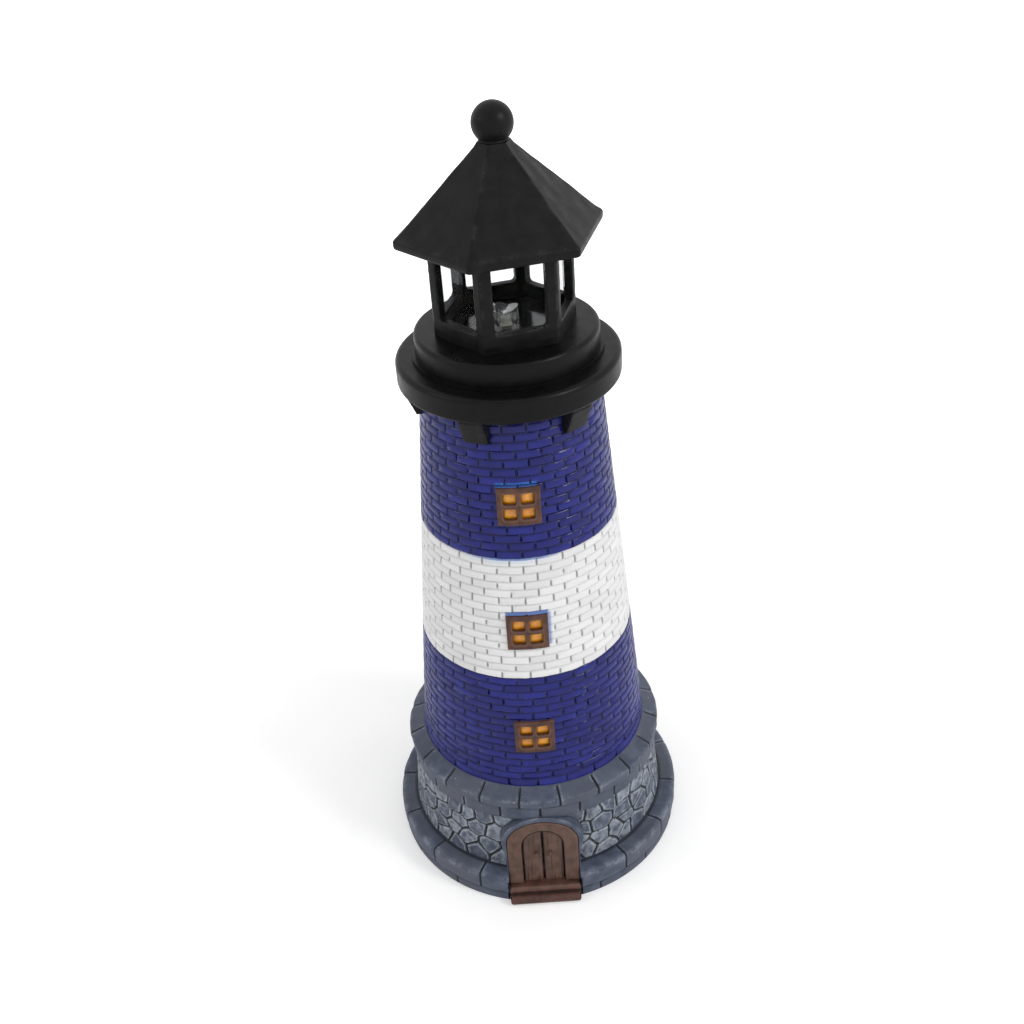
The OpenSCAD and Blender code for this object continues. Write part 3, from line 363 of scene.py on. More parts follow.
# %% A mask from the mesh, and the links that end each finish
def mask(tree, name):
    """A value that the shape stored on its points."""
    return add(tree, "Attribute", attribute_name=name, attribute_type="GEOMETRY").outputs["Fac"]


def coat(tree, inputs, grain, colour, depth, rough=None, height=None):
    """Links the colour, a bump of depth mm, and a roughness that follows the grain between two bounds."""
    tree.links.new(colour, inputs["Base Color"])
    if rough:
        tree.links.new(remap(tree, grain["Height"], 0.3, 0.7, *rough), inputs["Roughness"])
    sockets = {"Height": height or grain["Height"], "Distance": depth * MM, "Strength": 1.0}
    tree.links.new(add(tree, "Bump", sockets).outputs[0], inputs["Normal"])


# %% [markdown]
# ## Plain moulded and metal finishes
# The works inside the head are moulded plastic, plated metal and a lacquered board. They share
# one recipe: a colour that drifts slightly between two tones, roughness that follows the same
# drift, and a shallow grain. Only the numbers differ, so they stand in a table: colour,
# roughness, metallic, specular level, scale of the grain and its depth in mm.

# %% The table of plain finishes
PLAIN = {
    "gallery_plastic": (rgb(17, 17, 18), 0.32, 0.0, 0.13, 1.6, 0.03),
    "seal_rubber": (rgb(30, 30, 32), 0.8, 0.0, 0.3, 2.0, 0.05),
    "chassis_plastic": (rgb(196, 196, 188), 0.45, 0.0, 0.5, 1.5, 0.02),
    "gear_plastic": (rgb(228, 222, 202), 0.35, 0.0, 0.5, 1.5, 0.02),
    "motor_metal": (rgb(186, 188, 190), 0.32, 1.0, 0.5, 2.5, 0.02),
    "screw_steel": (rgb(176, 177, 180), 0.3, 1.0, 0.5, 3.0, 0.02),
    "contact_metal": (rgb(202, 202, 194), 0.28, 1.0, 0.5, 3.0, 0.02),
    "board_green": (rgb(22, 84, 46), 0.3, 0.0, 0.5, 3.0, 0.03),
    "lead_red": (rgb(168, 26, 24), 0.42, 0.0, 0.5, 2.0, 0.02),
    "led_plastic": (rgb(240, 240, 226), 0.14, 0.0, 0.5, 2.0, 0.01),
    "cell_wrap": (rgb(168, 124, 46), 0.28, 0.0, 0.5, 1.2, 0.01),
    "switch_plastic": (rgb(34, 34, 36), 0.5, 0.0, 0.4, 3.0, 0.03),
}
for name, (light, rough, metallic, specular, scale, depth) in PLAIN.items():
    tree, inputs, place, grain = finish(name, rough, scale, Metallic=metallic, Specular_IOR_Level=specular)
    darker = tuple(0.72 * c for c in light[:3]) + (1.0,)
    colour = blend(tree, grain["Tone"], darker, light)
    coat(tree, inputs, grain, colour, depth, (rough * 0.8, min(1.0, rough * 1.25)))
print("plain finishes:", len(PLAIN))

# %% [markdown]
# ## Black casting
# Cage, roof, corbels and finial are resin, painted satin black. The paint shows fine grain, a
# few pinholes and a greyer bloom, and it is scuffed paler along its ridges. The ridges come from an
# edge attribute that each shape works out while it is made, because a shader alone can't
# know where a shape ends. On the corbels it also covers the slanted fronts, whose paler grey is a
# painted highlight.

# %% Black casting
tree, inputs, place, grain = finish("black_casting", 0.4, 1.3, Specular_IOR_Level=0.12)
pits = effect(tree, "pinholes", place, Scale=0.9, Rarity=0.93)["Pits"]
# Paler where the edge mask is high: wear on ridges, rims and posts, and a painted highlight on the corbels'
# fronts.
wear_and_highlight = times(tree, mask(tree, "edge"), remap(tree, grain["Height"], 0.49, 0.62))
colour = blend(tree, grain["Tone"], rgb(19, 19, 20), rgb(26, 26, 27))
colour = tint(tree, colour, rgb(52, 52, 54), wear_and_highlight)
pitted = calc(tree, "MULTIPLY_ADD", pits, -0.7, grain["Height"])
coat(tree, inputs, grain, colour, 0.13, (0.3, 0.48), pitted)
print("black casting ready")

# %% [markdown]
# ## Brick paint
# The tower is brushed royal blue, with a white band sixteen courses high. Both colours end on a
# bed joint. A thin pale blue line was brushed over the band's upper edge, and blue strips mark
# the heads of the windows. Object coordinates give heights in metres, so each mark has its
# real place. Joints hold more paint and dust and are darker.

# %% The two colours of the bands
BAND_LOW, BAND_HIGH, BRUSH_EDGE = 0.08684, 0.12987, 0.0001
gloss = {"Specular_IOR_Level": 0.24, "Coat_Weight": 0.1, "Coat_Roughness": 0.12}
tree, inputs, place, grain = finish("blue_brick_paint", 0.3, 1.0, **gloss)
x, y, z = add(tree, "SeparateXYZ", {0: place}).outputs
ragged = calc(tree, "MULTIPLY_ADD", grain["Height"], 0.0008, calc(tree, "ADD", z, -0.0004))
white = between(tree, ragged, BAND_LOW, BAND_HIGH, BRUSH_EDGE)
joint, bed, tone = mask(tree, "joint"), mask(tree, "bed"), mask(tree, "tone")
blue = blend(tree, tone, rgb(24, 29, 108), rgb(33, 40, 132))
blue = tint(tree, blue, rgb(19, 21, 88), grain["Tone"], 0.5)
pale = blend(tree, tone, rgb(230, 230, 230), rgb(242, 242, 242))
colour = blend(tree, white, blue, pale)
print("white band:", BAND_LOW, "to", BAND_HIGH)


# %% Brushed strips, each (x0, x1, z0, z1, softness at the sides) with its strength and paint
def strip(x0, x1, z0, z1, soft):
    """Mask of a brushed strip on the door's side, inside x0..x1 and z0..z1."""
    inside = times(tree, between(tree, x, x0, x1, soft), between(tree, ragged, z0, z1, BRUSH_EDGE))
    return times(tree, inside, calc(tree, "LESS_THAN", y, 0.0))


BRUSHED = (((-0.015, 0.006, 0.1284, 0.1300, 0.006), 0.3, rgb(176, 200, 232)),
           ((-0.013, 0.009, 0.1294, 0.1301, 0.006), 0.75, rgb(84, 128, 200)),
           ((-0.0064, 0.0054, 0.1532, 0.1551, 0.0005), 0.9, rgb(50, 104, 186)),
           ((-0.0064, 0.0066, 0.1101, 0.1116, 0.0005), 0.9, rgb(52, 104, 184)),
           ((0.0062, 0.0073, 0.0990, 0.1106, 0.0005), 0.7, rgb(84, 130, 200)))
for where, strength, paint in BRUSHED:
    colour = tint(tree, colour, paint, strip(*where), strength)
print("brushed strips:", len(BRUSHED))

# %% Dark joints, deeper in the blue than in the white
in_blue = calc(tree, "MAXIMUM", times(tree, joint, 0.9), times(tree, bed, 0.65))
in_white = calc(tree, "MAXIMUM", times(tree, joint, 0.8), times(tree, bed, 0.22))
colour = tint(tree, colour, rgb(8, 8, 34), times(tree, in_blue, calc(tree, "SUBTRACT", 1.0, white)))
colour = tint(tree, colour, rgb(140, 140, 144), times(tree, in_white, white))
coat(tree, inputs, grain, colour, 0.07, (0.2, 0.38))
print("brick paint nodes:", len(tree.nodes))

# %% [markdown]
# ## Stone paint
# Plinth stones were painted blue-grey, washed dark in the joints and then dry-brushed: a nearly
# dry brush of pale grey catches only what stands out. The same pale grey also serves as a painted
# highlight on rounded edges, and the dark of the joints as painted shade under overhangs. The
# shapes store how far a point lies in a joint and how near it is to a stone's edge, and the paint
# reads both.

# %% Coping and ring: smooth stones
tree, inputs, place, grain = finish("coping_stone", 0.5, 1.2, Specular_IOR_Level=0.3)
pits = effect(tree, "pinholes", place, Scale=0.7, Rarity=0.95)["Pits"]
# Paler where the edge mask is high: wear and dry-brushing beside the joints, and painted highlights on
# rounded edges.
rubbed_and_highlit = times(tree, mask(tree, "edge"), remap(tree, grain["Height"], 0.45, 0.62))
stone = blend(tree, grain["Tone"], rgb(68, 75, 93), rgb(88, 95, 112))
stone = tint(tree, stone, rgb(86, 90, 102), mask(tree, "tone"), 0.6)
stone = tint(tree, stone, rgb(146, 153, 166), rubbed_and_highlit, 0.6)
stone = tint(tree, stone, rgb(150, 156, 166), pits)
# The joint mask holds dark joints, and painted shade under the coping, along the brick band and at the wall's
# foot.
stone = tint(tree, stone, rgb(20, 22, 28), mask(tree, "joint"))
coat(tree, inputs, grain, stone, 0.12, (0.42, 0.6))

# %% Paving: rough dry-brushed stones
tree, inputs, place, grain = finish("paved_stone", 0.62, 2.2, Specular_IOR_Level=0.25)
caught = calc(tree, "MULTIPLY_ADD", mask(tree, "tone"), 0.3, times(tree, grain["Height"], 1.1))
# Pale streaks where the edge mask is high: dry-brushed paint, and partly a painted highlight along the
# stones' edges.
brushed_and_highlit = times(tree, mask(tree, "edge"), remap(tree, grain["Height"], 0.36, 0.6, 0.35, 1.0))
stone = blend(tree, grain["Tone"], rgb(78, 85, 100), rgb(106, 113, 128))
stone = tint(tree, stone, rgb(164, 171, 181), remap(tree, caught, 0.62, 0.95), 0.7)
stone = tint(tree, stone, rgb(192, 198, 206), brushed_and_highlit, 0.85)
stone = tint(tree, stone, rgb(26, 28, 35), mask(tree, "joint"))
coat(tree, inputs, grain, stone, 0.3)
print("stone paints ready")

# %% [markdown]
# ## Brown paints and amber panes
# Door, step and window frames are brown. The door's pattern was carved with upright grain that
# keeps black wash in its cracks. Their rounded edges carry a painted highlight, and the step a
# painted shade in the crease under its upper nose. Panes are amber, with painted shadow along the
# rim of each light and in its upper left corner.
# The four browns share a recipe, so they stand in a table: light and dark tone, how strongly
# the wood shows, and roughness.

# %% Browns
BROWNS = {
    "door_paint": (rgb(106, 82, 72), rgb(86, 65, 57), 0.5, 0.5),
    "window_frame_paint": (rgb(98, 68, 57), rgb(74, 50, 42), 0.2, 0.45),
    "step_paint": (rgb(92, 62, 55), rgb(68, 45, 40), 0.15, 0.34),
    "knob_paint": (rgb(112, 84, 72), rgb(86, 64, 55), 0.1, 0.4),
}
for name, (light, dark, wood, rough) in BROWNS.items():
    tree, inputs, place, grain = finish(name, rough, 1.6, Specular_IOR_Level=0.25)
    wooden = effect(tree, "wood_grain", place, Scale=1.7)
    colour = blend(tree, grain["Tone"], dark, light)
    colour = tint(tree, colour, rgb(34, 24, 21), wooden["Crack"], wood)
    # Rounded edges are painted lighter as a painted highlight: round each light of the window frames, along
    # the surround's outer edge and on the step's nose.
    colour = tint(tree, colour, rgb(136, 108, 94), mask(tree, "edge"), 0.35)
    # The joint mask holds dark grooves and black wash, and painted shade in the step's crease and on the
    # surround's inner rim and outer side.
    colour = tint(tree, colour, rgb(16, 12, 12), mask(tree, "joint"))
    streaked = calc(tree, "MULTIPLY_ADD", wooden["Streak"], wood, grain["Height"])
    coat(tree, inputs, grain, colour, 0.14, height=streaked)

# %% Amber panes
tree, inputs, place, grain = finish("amber_pane", 0.25, 2.5, Coat_Weight=0.5, Coat_Roughness=0.15)
amber = blend(tree, grain["Tone"], rgb(218, 132, 20), rgb(246, 168, 44))
# The joint mask on the panes is a painted shadow at each light's rim and upper left corner.
coat(tree, inputs, grain, tint(tree, amber, rgb(112, 58, 10), mask(tree, "joint")), 0.1)
print("browns and amber ready")

# %% [markdown]
# ## Clear plastic, lens and glossy floor
# Clear parts keep plain transmission on the shader; only the roughness and a faint unevenness
# vary, as on a moulding seen close up. The thin glazing hardly bends light, so its index is
# near 1, and the solid lens has that of acrylic.

# %% Clear parts: transmission, roughness, index and scale of the grain
for name, clear, rough, ior, scale in (("clear_plastic", 1.0, 0.02, 1.06, 0.6),
                                       ("lens_plastic", 0.95, 0.03, 1.49, 0.8)):
    tree, inputs, place, grain = finish(name, rough, scale, Transmission_Weight=clear, IOR=ior)
    colour = blend(tree, grain["Tone"], (0.97, 0.985, 1.0, 1.0), (1.0, 1.0, 1.0, 1.0))
    coat(tree, inputs, grain, colour, 0.02, (rough * 0.5, rough * 2.0))

# %% Glossy black floor of the lantern
tree, inputs, place, grain = finish("floor_gloss", 0.12, 1.5)
colour = blend(tree, grain["Tone"], rgb(14, 14, 16), rgb(24, 24, 27))
coat(tree, inputs, grain, colour, 0.02, (0.07, 0.2))
print("materials:", len(bpy.data.materials))

# %% [markdown]
# ## The brick tower
# The tower is a hollow cone with bricks in running bond. It could be a cone with a bump pattern,
# but the joints show on the outline, so the surface itself is worked out: columns crowd round
# every head joint and rows round every bed joint, and each point is pressed in by the joint's
# depth there. Every brick gets a small offset of its own, and joints wander a little.

# %% Sizes of the masonry
TOWER_Z, TOWER_H, COURSES, BRICKS = 43.8, 131.8, 49, 24
COURSE = TOWER_H / COURSES
FOOT_R, RIM_R, MEAN_R, SOCKET_R, HOLLOW_R = 38.5, 26.9, 32.0, 22.8, 35.5
RIM_Z, SOCKET_Z = 175.6, 162.1
WINDOWS = {"lower": 64.3, "middle": 104.3, "upper": 147.6}
WINDOW_W, WINDOW_H, POCKET_MARGIN, POCKET_DEPTH = 12.8, 12.0, 0.8, 1.35
HALF_TURN = 180.0 / BRICKS


def tower_r(z):
    """Straight taper from the foot to the rim."""
    return FOOT_R + (RIM_R - FOOT_R) * (z - TOWER_Z) / TOWER_H


def merged_lines(*lines, least):
    """Sorted union of several sets of positions, with those closer than least dropped."""
    line = np.unique(np.concatenate([np.ravel(positions) for positions in lines]))
    return line[np.concatenate([[True], np.diff(line) > least])]


# %% Rows and columns that crowd round the joints and the pockets' edges
edges = [(zc, inset) for zc in WINDOWS.values() for inset in (0.5, 0.85)]
bed_offsets = np.array([-0.38, -0.14, 0.14, 0.38, 1.0, 1.75])
bed_rows = TOWER_Z + COURSE * np.arange(1, COURSES)[:, None] + bed_offsets
window_rows = [[zc - WINDOW_H / 2 + inset, zc + WINDOW_H / 2 - inset] for zc, inset in edges]
rows = merged_lines(bed_rows, window_rows, [TOWER_Z, TOWER_Z + TOWER_H], least=0.03)
head_offsets = np.degrees(np.array([-1.6, -0.42, -0.14, 0.14, 0.42]) / MEAN_R)
head_columns = HALF_TURN * np.arange(2 * BRICKS)[:, None] + head_offsets
window_turns = np.array([np.degrees((WINDOW_W / 2 - inset) / tower_r(zc)) for zc, inset in edges])
window_columns = np.concatenate([-window_turns, window_turns])
columns = merged_lines((head_columns + 360.0) % 360.0, (window_columns + 360.0) % 360.0, least=0.02)
Z, A = np.meshgrid(rows, columns, indexing="ij")
print("tower grid:", Z.shape)

# %% Where each point lies: its course, its brick and its distance from both kinds of joint
FAR, BED_DEPTH, HEAD_DEPTH, SET_BACK = 9.0, 0.3, 0.42, 0.12
course = np.clip(((Z - TOWER_Z) / COURSE).astype(int), 0, COURSES - 1)
to_bed = np.abs((Z - TOWER_Z + COURSE / 2) % COURSE - COURSE / 2)
to_bed = np.where((Z < TOWER_Z + COURSE / 2) | (Z > TOWER_Z + TOWER_H - COURSE / 2), FAR, to_bed)
joint_no = np.round(A / HALF_TURN).astype(int)
to_head = np.abs((A - HALF_TURN * joint_no) * np.pi / 180.0 * tower_r(Z))
active = (joint_no + course) % 2 == 0
up = (Z - TOWER_Z) / COURSE - course
brick = (np.floor((A / HALF_TURN - course % 2) / 2).astype(int)) % BRICKS

# %% Random reach and drift of the joints, and the bricks' own offsets
rng = np.random.default_rng(11)
JOINTS = (COURSES, 2 * BRICKS + 1)
starts = rng.uniform(-0.3, 0.22, JOINTS)[course, joint_no]
stops = rng.uniform(0.62, 1.3, JOINTS)[course, joint_no]
reached = smooth(starts - 0.1, starts + 0.1, up) * (1.0 - smooth(stops - 0.15, stops + 0.15, up))
bed = 1.0 - smooth(0.12, 0.38, to_bed)
head = np.where(active, reached * (1.0 - smooth(0.13, 0.42, to_head)), 0.0)
jitter = rng.normal(0.0, 0.5, JOINTS)[course, joint_no] * active * smooth(0.1, 0.42, to_bed)
own = rng.uniform(-1.0, 1.0, (COURSES, BRICKS))[course, brick]
flat = around(A, tower_r(Z), Z)
drift = 0.10 * waves(flat, 9.0, 6)
depth = np.maximum(BED_DEPTH * bed, HEAD_DEPTH * head) - 0.05 * own - 0.05 * waves(flat, 3.0, 4)
bulge = 0.06 * smooth(0.1, 1.2, to_bed) * smooth(0.2, 2.2, np.where(active, to_head, FAR))
print("deepest joint:", round(float(depth.max()), 3), "mm")

# %% Pockets for the windows, and the outer sheet
from_door = off_by(A, 0.0)
pocket = np.zeros_like(Z)
for zc in WINDOWS.values():
    across = np.abs(tower_r(zc) * np.sin(np.radians(from_door)))
    inside = (np.abs(from_door) < 90) & (across < WINDOW_W / 2 - POCKET_MARGIN)
    pocket = np.where(inside & (np.abs(Z - zc) < WINDOW_H / 2 - POCKET_MARGIN), POCKET_DEPTH, pocket)
DEGREES, STRAIGHT = 57.3, 14
sideways = (jitter * 0.35 + drift * 0.4 * (pocket == 0)) / MEAN_R * DEGREES * (np.abs(from_door) > STRAIGHT)
outer = around(A + sideways, tower_r(Z) - SET_BACK - np.where(pocket > 0, pocket, depth - bulge), Z)

# %% The tower with its socket and hollow
inner_line = [(RIM_R - 0.2, RIM_Z), (SOCKET_R, RIM_Z), (SOCKET_R, SOCKET_Z), (HOLLOW_R, TOWER_Z),
              (FOOT_R - 0.2, TOWER_Z)]
inner = np.stack([around(columns, r, z) for r, z in inner_line])
piece("tower_bricks", looped(np.concatenate([outer, inner])), "blue_brick_paint", "tower", "tower_shell",
      sharp=50, merge=False, joint=padded(head, len(inner)), bed=padded(bed, len(inner)),
      tone=padded(own * 0.5 + 0.5, len(inner), 0.5))

# %% [markdown]
# ## The coping
# Below the tower stand a ring of coping stones, a wall of irregular paving with a course of
# bricks on top, and a bevelled ring on the ground. Twenty coping stones could be twenty blocks,
# but they were cast as one ring, so one profile is turned round the axis and pressed in at the
# joints. Only the columns near a joint stand close.

# %% Columns, joints and tones for a ring of stones
def stone_columns(joints, r):
    """Azimuths: each joint with offsets in mm at radius r, and an even fill between."""
    beside = np.array([0.08, 0.25, 0.45, 0.8, 1.3])
    offsets = np.degrees(np.concatenate([-beside[::-1], beside]) / r)
    near = (np.asarray(joints)[:, None] + offsets) % 360.0
    even = np.arange(0.0, 360.0, 1.5)
    gap = np.abs(off_by(even[:, None], np.asarray(joints)[None])).min(1)
    return merged_lines(near, even[gap > 1.15 * offsets[-1]], least=0.01)


def joint_depth(azimuth, joints, r, half_w=0.32):
    """1 in a joint, 0 a little beside it, and how near a point is to a joint's edge."""
    s = np.abs(off_by(np.asarray(azimuth)[..., None], np.asarray(joints))).min(-1) * np.pi / 180.0 * r
    return 1.0 - smooth(half_w * 0.5, half_w * 1.6, s), bell(s, half_w * 2.2, 0.4)


def stone_number(azimuth, joints):
    """Number of the stone between two joints, for tones and small offsets."""
    return np.searchsorted(np.sort(joints % 360.0), azimuth % 360.0) % len(joints)


def stone_tones(number, step, steps, rows):
    """Tones 0..1 that jump from stone to stone, the same on every row."""
    return np.repeat((number * step % steps)[None] / (steps - 1.0), rows, 0)


# %% Coping stones
COPING_STONES, COPING_R = 20, 42.0
coping_joints = 9.0 + 360.0 / COPING_STONES * np.arange(COPING_STONES)
coping = line_of((35.5, 38.2), (40.0, 38.2), (42.6, 38.2), arc(43.3, 38.8, 0.55, -90, 0, 4), (43.88, 39.6),
                 arc(42.78, 40.6, 1.1, 0, 68, 6), (42.6, 41.85), (41.6, 42.3), (40.2, 42.95), (39.2, 43.4),
                 (38.7, 43.62), (38.3, 43.7), (35.5, 43.75))
azimuth = stone_columns(coping_joints, COPING_R)
pressed, near = joint_depth(azimuth, coping_joints, COPING_R)
number = stone_number(azimuth, coping_joints)
r, z = coping[:, :1], coping[:, 1:]
weight = smooth(38.6, 39.2, r) * (z > 38.3)
own = np.random.default_rng(3).uniform(-0.12, 0.12, COPING_STONES)[number]
uneven = 0.1 * waves(turn_profile(azimuth, coping), 5.0, 8)
shift = weight * (-0.5 * pressed - 0.12 * near + own + uneven) - 0.1 * weight
# The underside is darkened as a painted shadow under the overhang. The edge mask is a painted highlight along
# the rounded top edge, and wear beside the joints.
piece("coping_stones", looped(turn_profile(azimuth, coping, shift)), "coping_stone", "tower", "coping_ring",
      sharp=50, merge=False, joint=np.maximum(pressed * weight, 0.9 * (z < 38.45)),
      edge=bell(z, 41.3, 0.45) * 0.6 + near * weight, tone=stone_tones(number, 5, 7, len(coping)))

# %% [markdown]
# ## The ground ring
# Long bevelled stones lie on a thin lower course: thirteen from door to door and one at the
# step. The ring is cut off straight behind the step, so near the door its columns run parallel,
# at fixed x, and the points in front of the cut are set back onto it.

# %% Profile, joints and notch of the ring
RING_STONES, JOINT_LEFT, JOINT_RIGHT, RING_R, COURSE_R = 13, -26.0, 34.5, 50.2, 49.7
NOTCH_X, NOTCH_Y, NOTCH_R = 12.1, -43.1, 45.0
stone_turn = (360.0 + JOINT_LEFT - JOINT_RIGHT) / RING_STONES
ring_joints = JOINT_RIGHT + stone_turn * np.arange(RING_STONES + 1)
low_joints = ring_joints - 0.5 * stone_turn
ring = line_of((40.8, 0.0), (45.0, 0.0), (49.0, 0.0), arc(49.2, 0.5, 0.5, -90, 0, 3), (49.7, 2.0),
               (49.66, 3.3), (49.35, 3.6), (49.4, 3.85), (50.05, 4.25), (50.2, 4.6), (50.2, 7.0), (50.2, 9.0),
               arc(48.6, 9.4, 1.6, 0, 90, 7), (47.6, 11.0), (45.6, 11.0), (44.6, 10.95), (43.6, 10.9),
               (40.8, 10.9))


def beside_door(azimuth, r):
    """Azimuth at radius r of a column that keeps x = 45 sin a near the door and its azimuth elsewhere."""
    a = off_by(azimuth, 0.0)
    parallel = np.degrees(np.arcsin(np.clip(NOTCH_R * np.sin(np.radians(a)) / r, -1.0, 1.0)))
    w = 1.0 - smooth(17.0, 25.0, np.abs(a))
    return w * parallel + (1.0 - w) * a


# %% Relief of the two courses
cut_x = np.array([-NOTCH_X, -NOTCH_X + 0.03, NOTCH_X - 0.03, NOTCH_X])
cut_columns = np.degrees(np.arcsin(cut_x / NOTCH_R)) % 360.0
azimuth = merged_lines(stone_columns(ring_joints, RING_R), stone_columns(low_joints, COURSE_R), cut_columns,
                       least=0.03)
r, z = ring[:, :1], ring[:, 1:]
top_pressed, top_near = joint_depth(azimuth, ring_joints, RING_R, 0.3)
low_pressed, _ = joint_depth(azimuth, low_joints, COURSE_R, 0.25)
is_top = smooth(3.7, 3.9, z) * smooth(44.0, 45.0, r)
is_low = (1.0 - smooth(3.5, 3.7, z)) * smooth(48.0, 49.2, r)
number = stone_number(azimuth, ring_joints)
own = np.random.default_rng(9).uniform(-0.1, 0.1, len(ring_joints))[number]
angle = beside_door(azimuth, r)
base = turn_profile(angle, ring)
top_relief = -0.55 * top_pressed - 0.1 * top_near + own * (z > 9.0) + 0.09 * waves(base, 6.0, 15) - 0.1
relief = is_top * top_relief
relief = relief + is_low * (-0.45 * low_pressed + 0.06 * waves(base, 4.0, 16) - 0.08) * (z > 0.3)
relief = np.minimum(relief, -0.03 * (is_top + is_low))
print("ring relief from", round(float(relief.min()), 2), "mm")

# %% Ground ring, set back onto the cut behind the step
base = turn_profile(angle, ring, relief)
behind = (np.abs(base[..., 0]) < NOTCH_X - 0.015) & (base[..., 1] < NOTCH_Y)
base[..., 1] = np.where(behind, NOTCH_Y, base[..., 1])
# Painted shade along the ring's top where the wall stands on it, and a painted highlight along the top bevel;
# the rest of the edge mask is wear beside the joints.
course_line = bell(z, 3.62, 0.16) * smooth(47.0, 49.0, r)
bevel_highlight = bell(z, 10.0, 0.9) * smooth(48.0, 49.0, r)
foot_shade = bell(r, 44.4, 0.5) * (z > 10.0)
sunk = np.maximum(is_top * top_pressed, is_low * low_pressed) + course_line + foot_shade
piece("ring_stones", looped(base), "coping_stone", "tower", "ground_ring", sharp=50,
      joint=np.clip(sunk, 0, 1), edge=np.clip(bevel_highlight + is_top * top_near * 0.7, 0, 1),
      tone=stone_tones(number, 3, 5, len(ring)))

# %% [markdown]
# ## The paved wall
# Stones of about six millimetres were laid out as a map of cells: four rows of seeds, each
# moved by a random step. Where a point lies between its two nearest seeds gives the distance to
# the joint, e = (d2^2 - d1^2) / (2 |s2 - s1|). Round the door the stones stop at a border, which
# is a piece of its own and stands nearly flush with the door's surround.

# %% Seeds on the unrolled wall
WALL_R, WALL_Z, BAND_Z, COPING_Z = 43.3, 11.0, 32.6, 38.2
PERIOD = 2.0 * np.pi * WALL_R
SEED_ROWS, SEED_COLUMNS, FLATTER = 4, 36, 1.15
rng = np.random.default_rng(21)
seeds = np.meshgrid(np.arange(SEED_COLUMNS), np.arange(SEED_ROWS), indexing="xy")
seeds = np.stack(seeds, -1).reshape(-1, 2).astype(float)
seeds[:, 0] = (seeds[:, 0] + 0.5 * (seeds[:, 1] % 2)) * PERIOD / SEED_COLUMNS
seeds[:, 1] = WALL_Z + (seeds[:, 1] + 0.5) * (BAND_Z - WALL_Z) / SEED_ROWS
seeds += rng.uniform(-1.0, 1.0, seeds.shape) * (2.4, 1.7)
print("paving stones:", len(seeds))


# %% Distances to the joints and to the arch
def unrolled(s):
    """The same place on the unrolled wall, within half a turn of 0."""
    return (s + PERIOD / 2) % PERIOD - PERIOD / 2


def paving(s, z):
    """Nearest seed's number and the distance from (s, z) to the line between the two nearest seeds."""
    best = np.full((2,) + s.shape, 1e9)
    which = np.zeros((2,) + s.shape, int)
    for number, (cs, cz) in enumerate(seeds):
        d = unrolled(s - cs) ** 2 + (FLATTER * (z - cz)) ** 2
        first, second = d < best[0], d < best[1]
        best[1] = np.where(first, best[0], np.where(second, d, best[1]))
        which[1] = np.where(first, which[0], np.where(second, number, which[1]))
        best[0] = np.where(first, d, best[0])
        which[0] = np.where(first, number, which[0])
    apart = seeds[which[0]] - seeds[which[1]]
    gap = np.hypot(unrolled(apart[..., 0]), FLATTER * apart[..., 1])
    return which[0], (best[1] - best[0]) / (2.0 * gap)


def arch_distance(x, h, half, height, rise):
    """Distance outside an arch: k(k - 1)/g with k = |p/r| and g = |p/r^2|, so |x| - half on its legs."""
    up = np.maximum(h - (height - rise), 0.0)
    k, g = np.hypot(x / half, up / rise), np.hypot(x / half ** 2, up / rise ** 2)
    return k * (k - 1.0) / np.maximum(g, 1e-6)


# %% The door's plane
DOOR_Y, DOOR_Z, LEAN = -44.608, 6.1, np.radians(4.764)
DOOR_HALF, DOOR_H, DOOR_RISE = 12.0, 26.0, 8.4
LEAF_HALF, LEAF_H, LEAF_RISE = 6.9, 22.6, 6.4


def door_place(x, d, h):
    """Point x to the right, d in front of the wall's face and h above the step, on the leaning wall."""
    x, d, h = np.broadcast_arrays(np.asarray(x, float), d, h)
    y = DOOR_Y - d * np.cos(LEAN) + h * np.sin(LEAN)
    return np.stack([x, y, DOOR_Z + d * np.sin(LEAN) + h * np.cos(LEAN)], -1)


def border_width(h):
    """The border over the door grows from 0.3 mm on the legs to 1.8 mm over the arch."""
    return 0.3 + 1.5 * smooth(9.0, 19.0, h)


# %% The paving's relief: each stone has its own height and tilt
columns = np.arange(0.0, 360.0, 360.0 / 700)
Z, A = np.meshgrid(np.linspace(WALL_Z, BAND_Z, 56), columns, indexing="ij")
S, on_wall = np.radians(A) * WALL_R, around(A, WALL_R, Z)
stone, e = paving(S + 0.14 * waves(on_wall, 2.2, 31), Z + 0.12 * waves(on_wall, 2.4, 32))
tilt = rng.uniform(-0.07, 0.07, (len(seeds), 2))[stone]
lift = rng.uniform(-0.16, 0.16, len(seeds))[stone]
tone = rng.uniform(0.0, 1.0, len(seeds))[stone]
top = lift + unrolled(S - seeds[stone, 0]) * tilt[..., 0] + (Z - seeds[stone, 1]) * tilt[..., 1]
relief = 0.6 * smooth(0.12, 0.75, e) - 0.7 + smooth(0.2, 0.9, e) * (top + 0.1 * waves(on_wall, 2.0, 33))

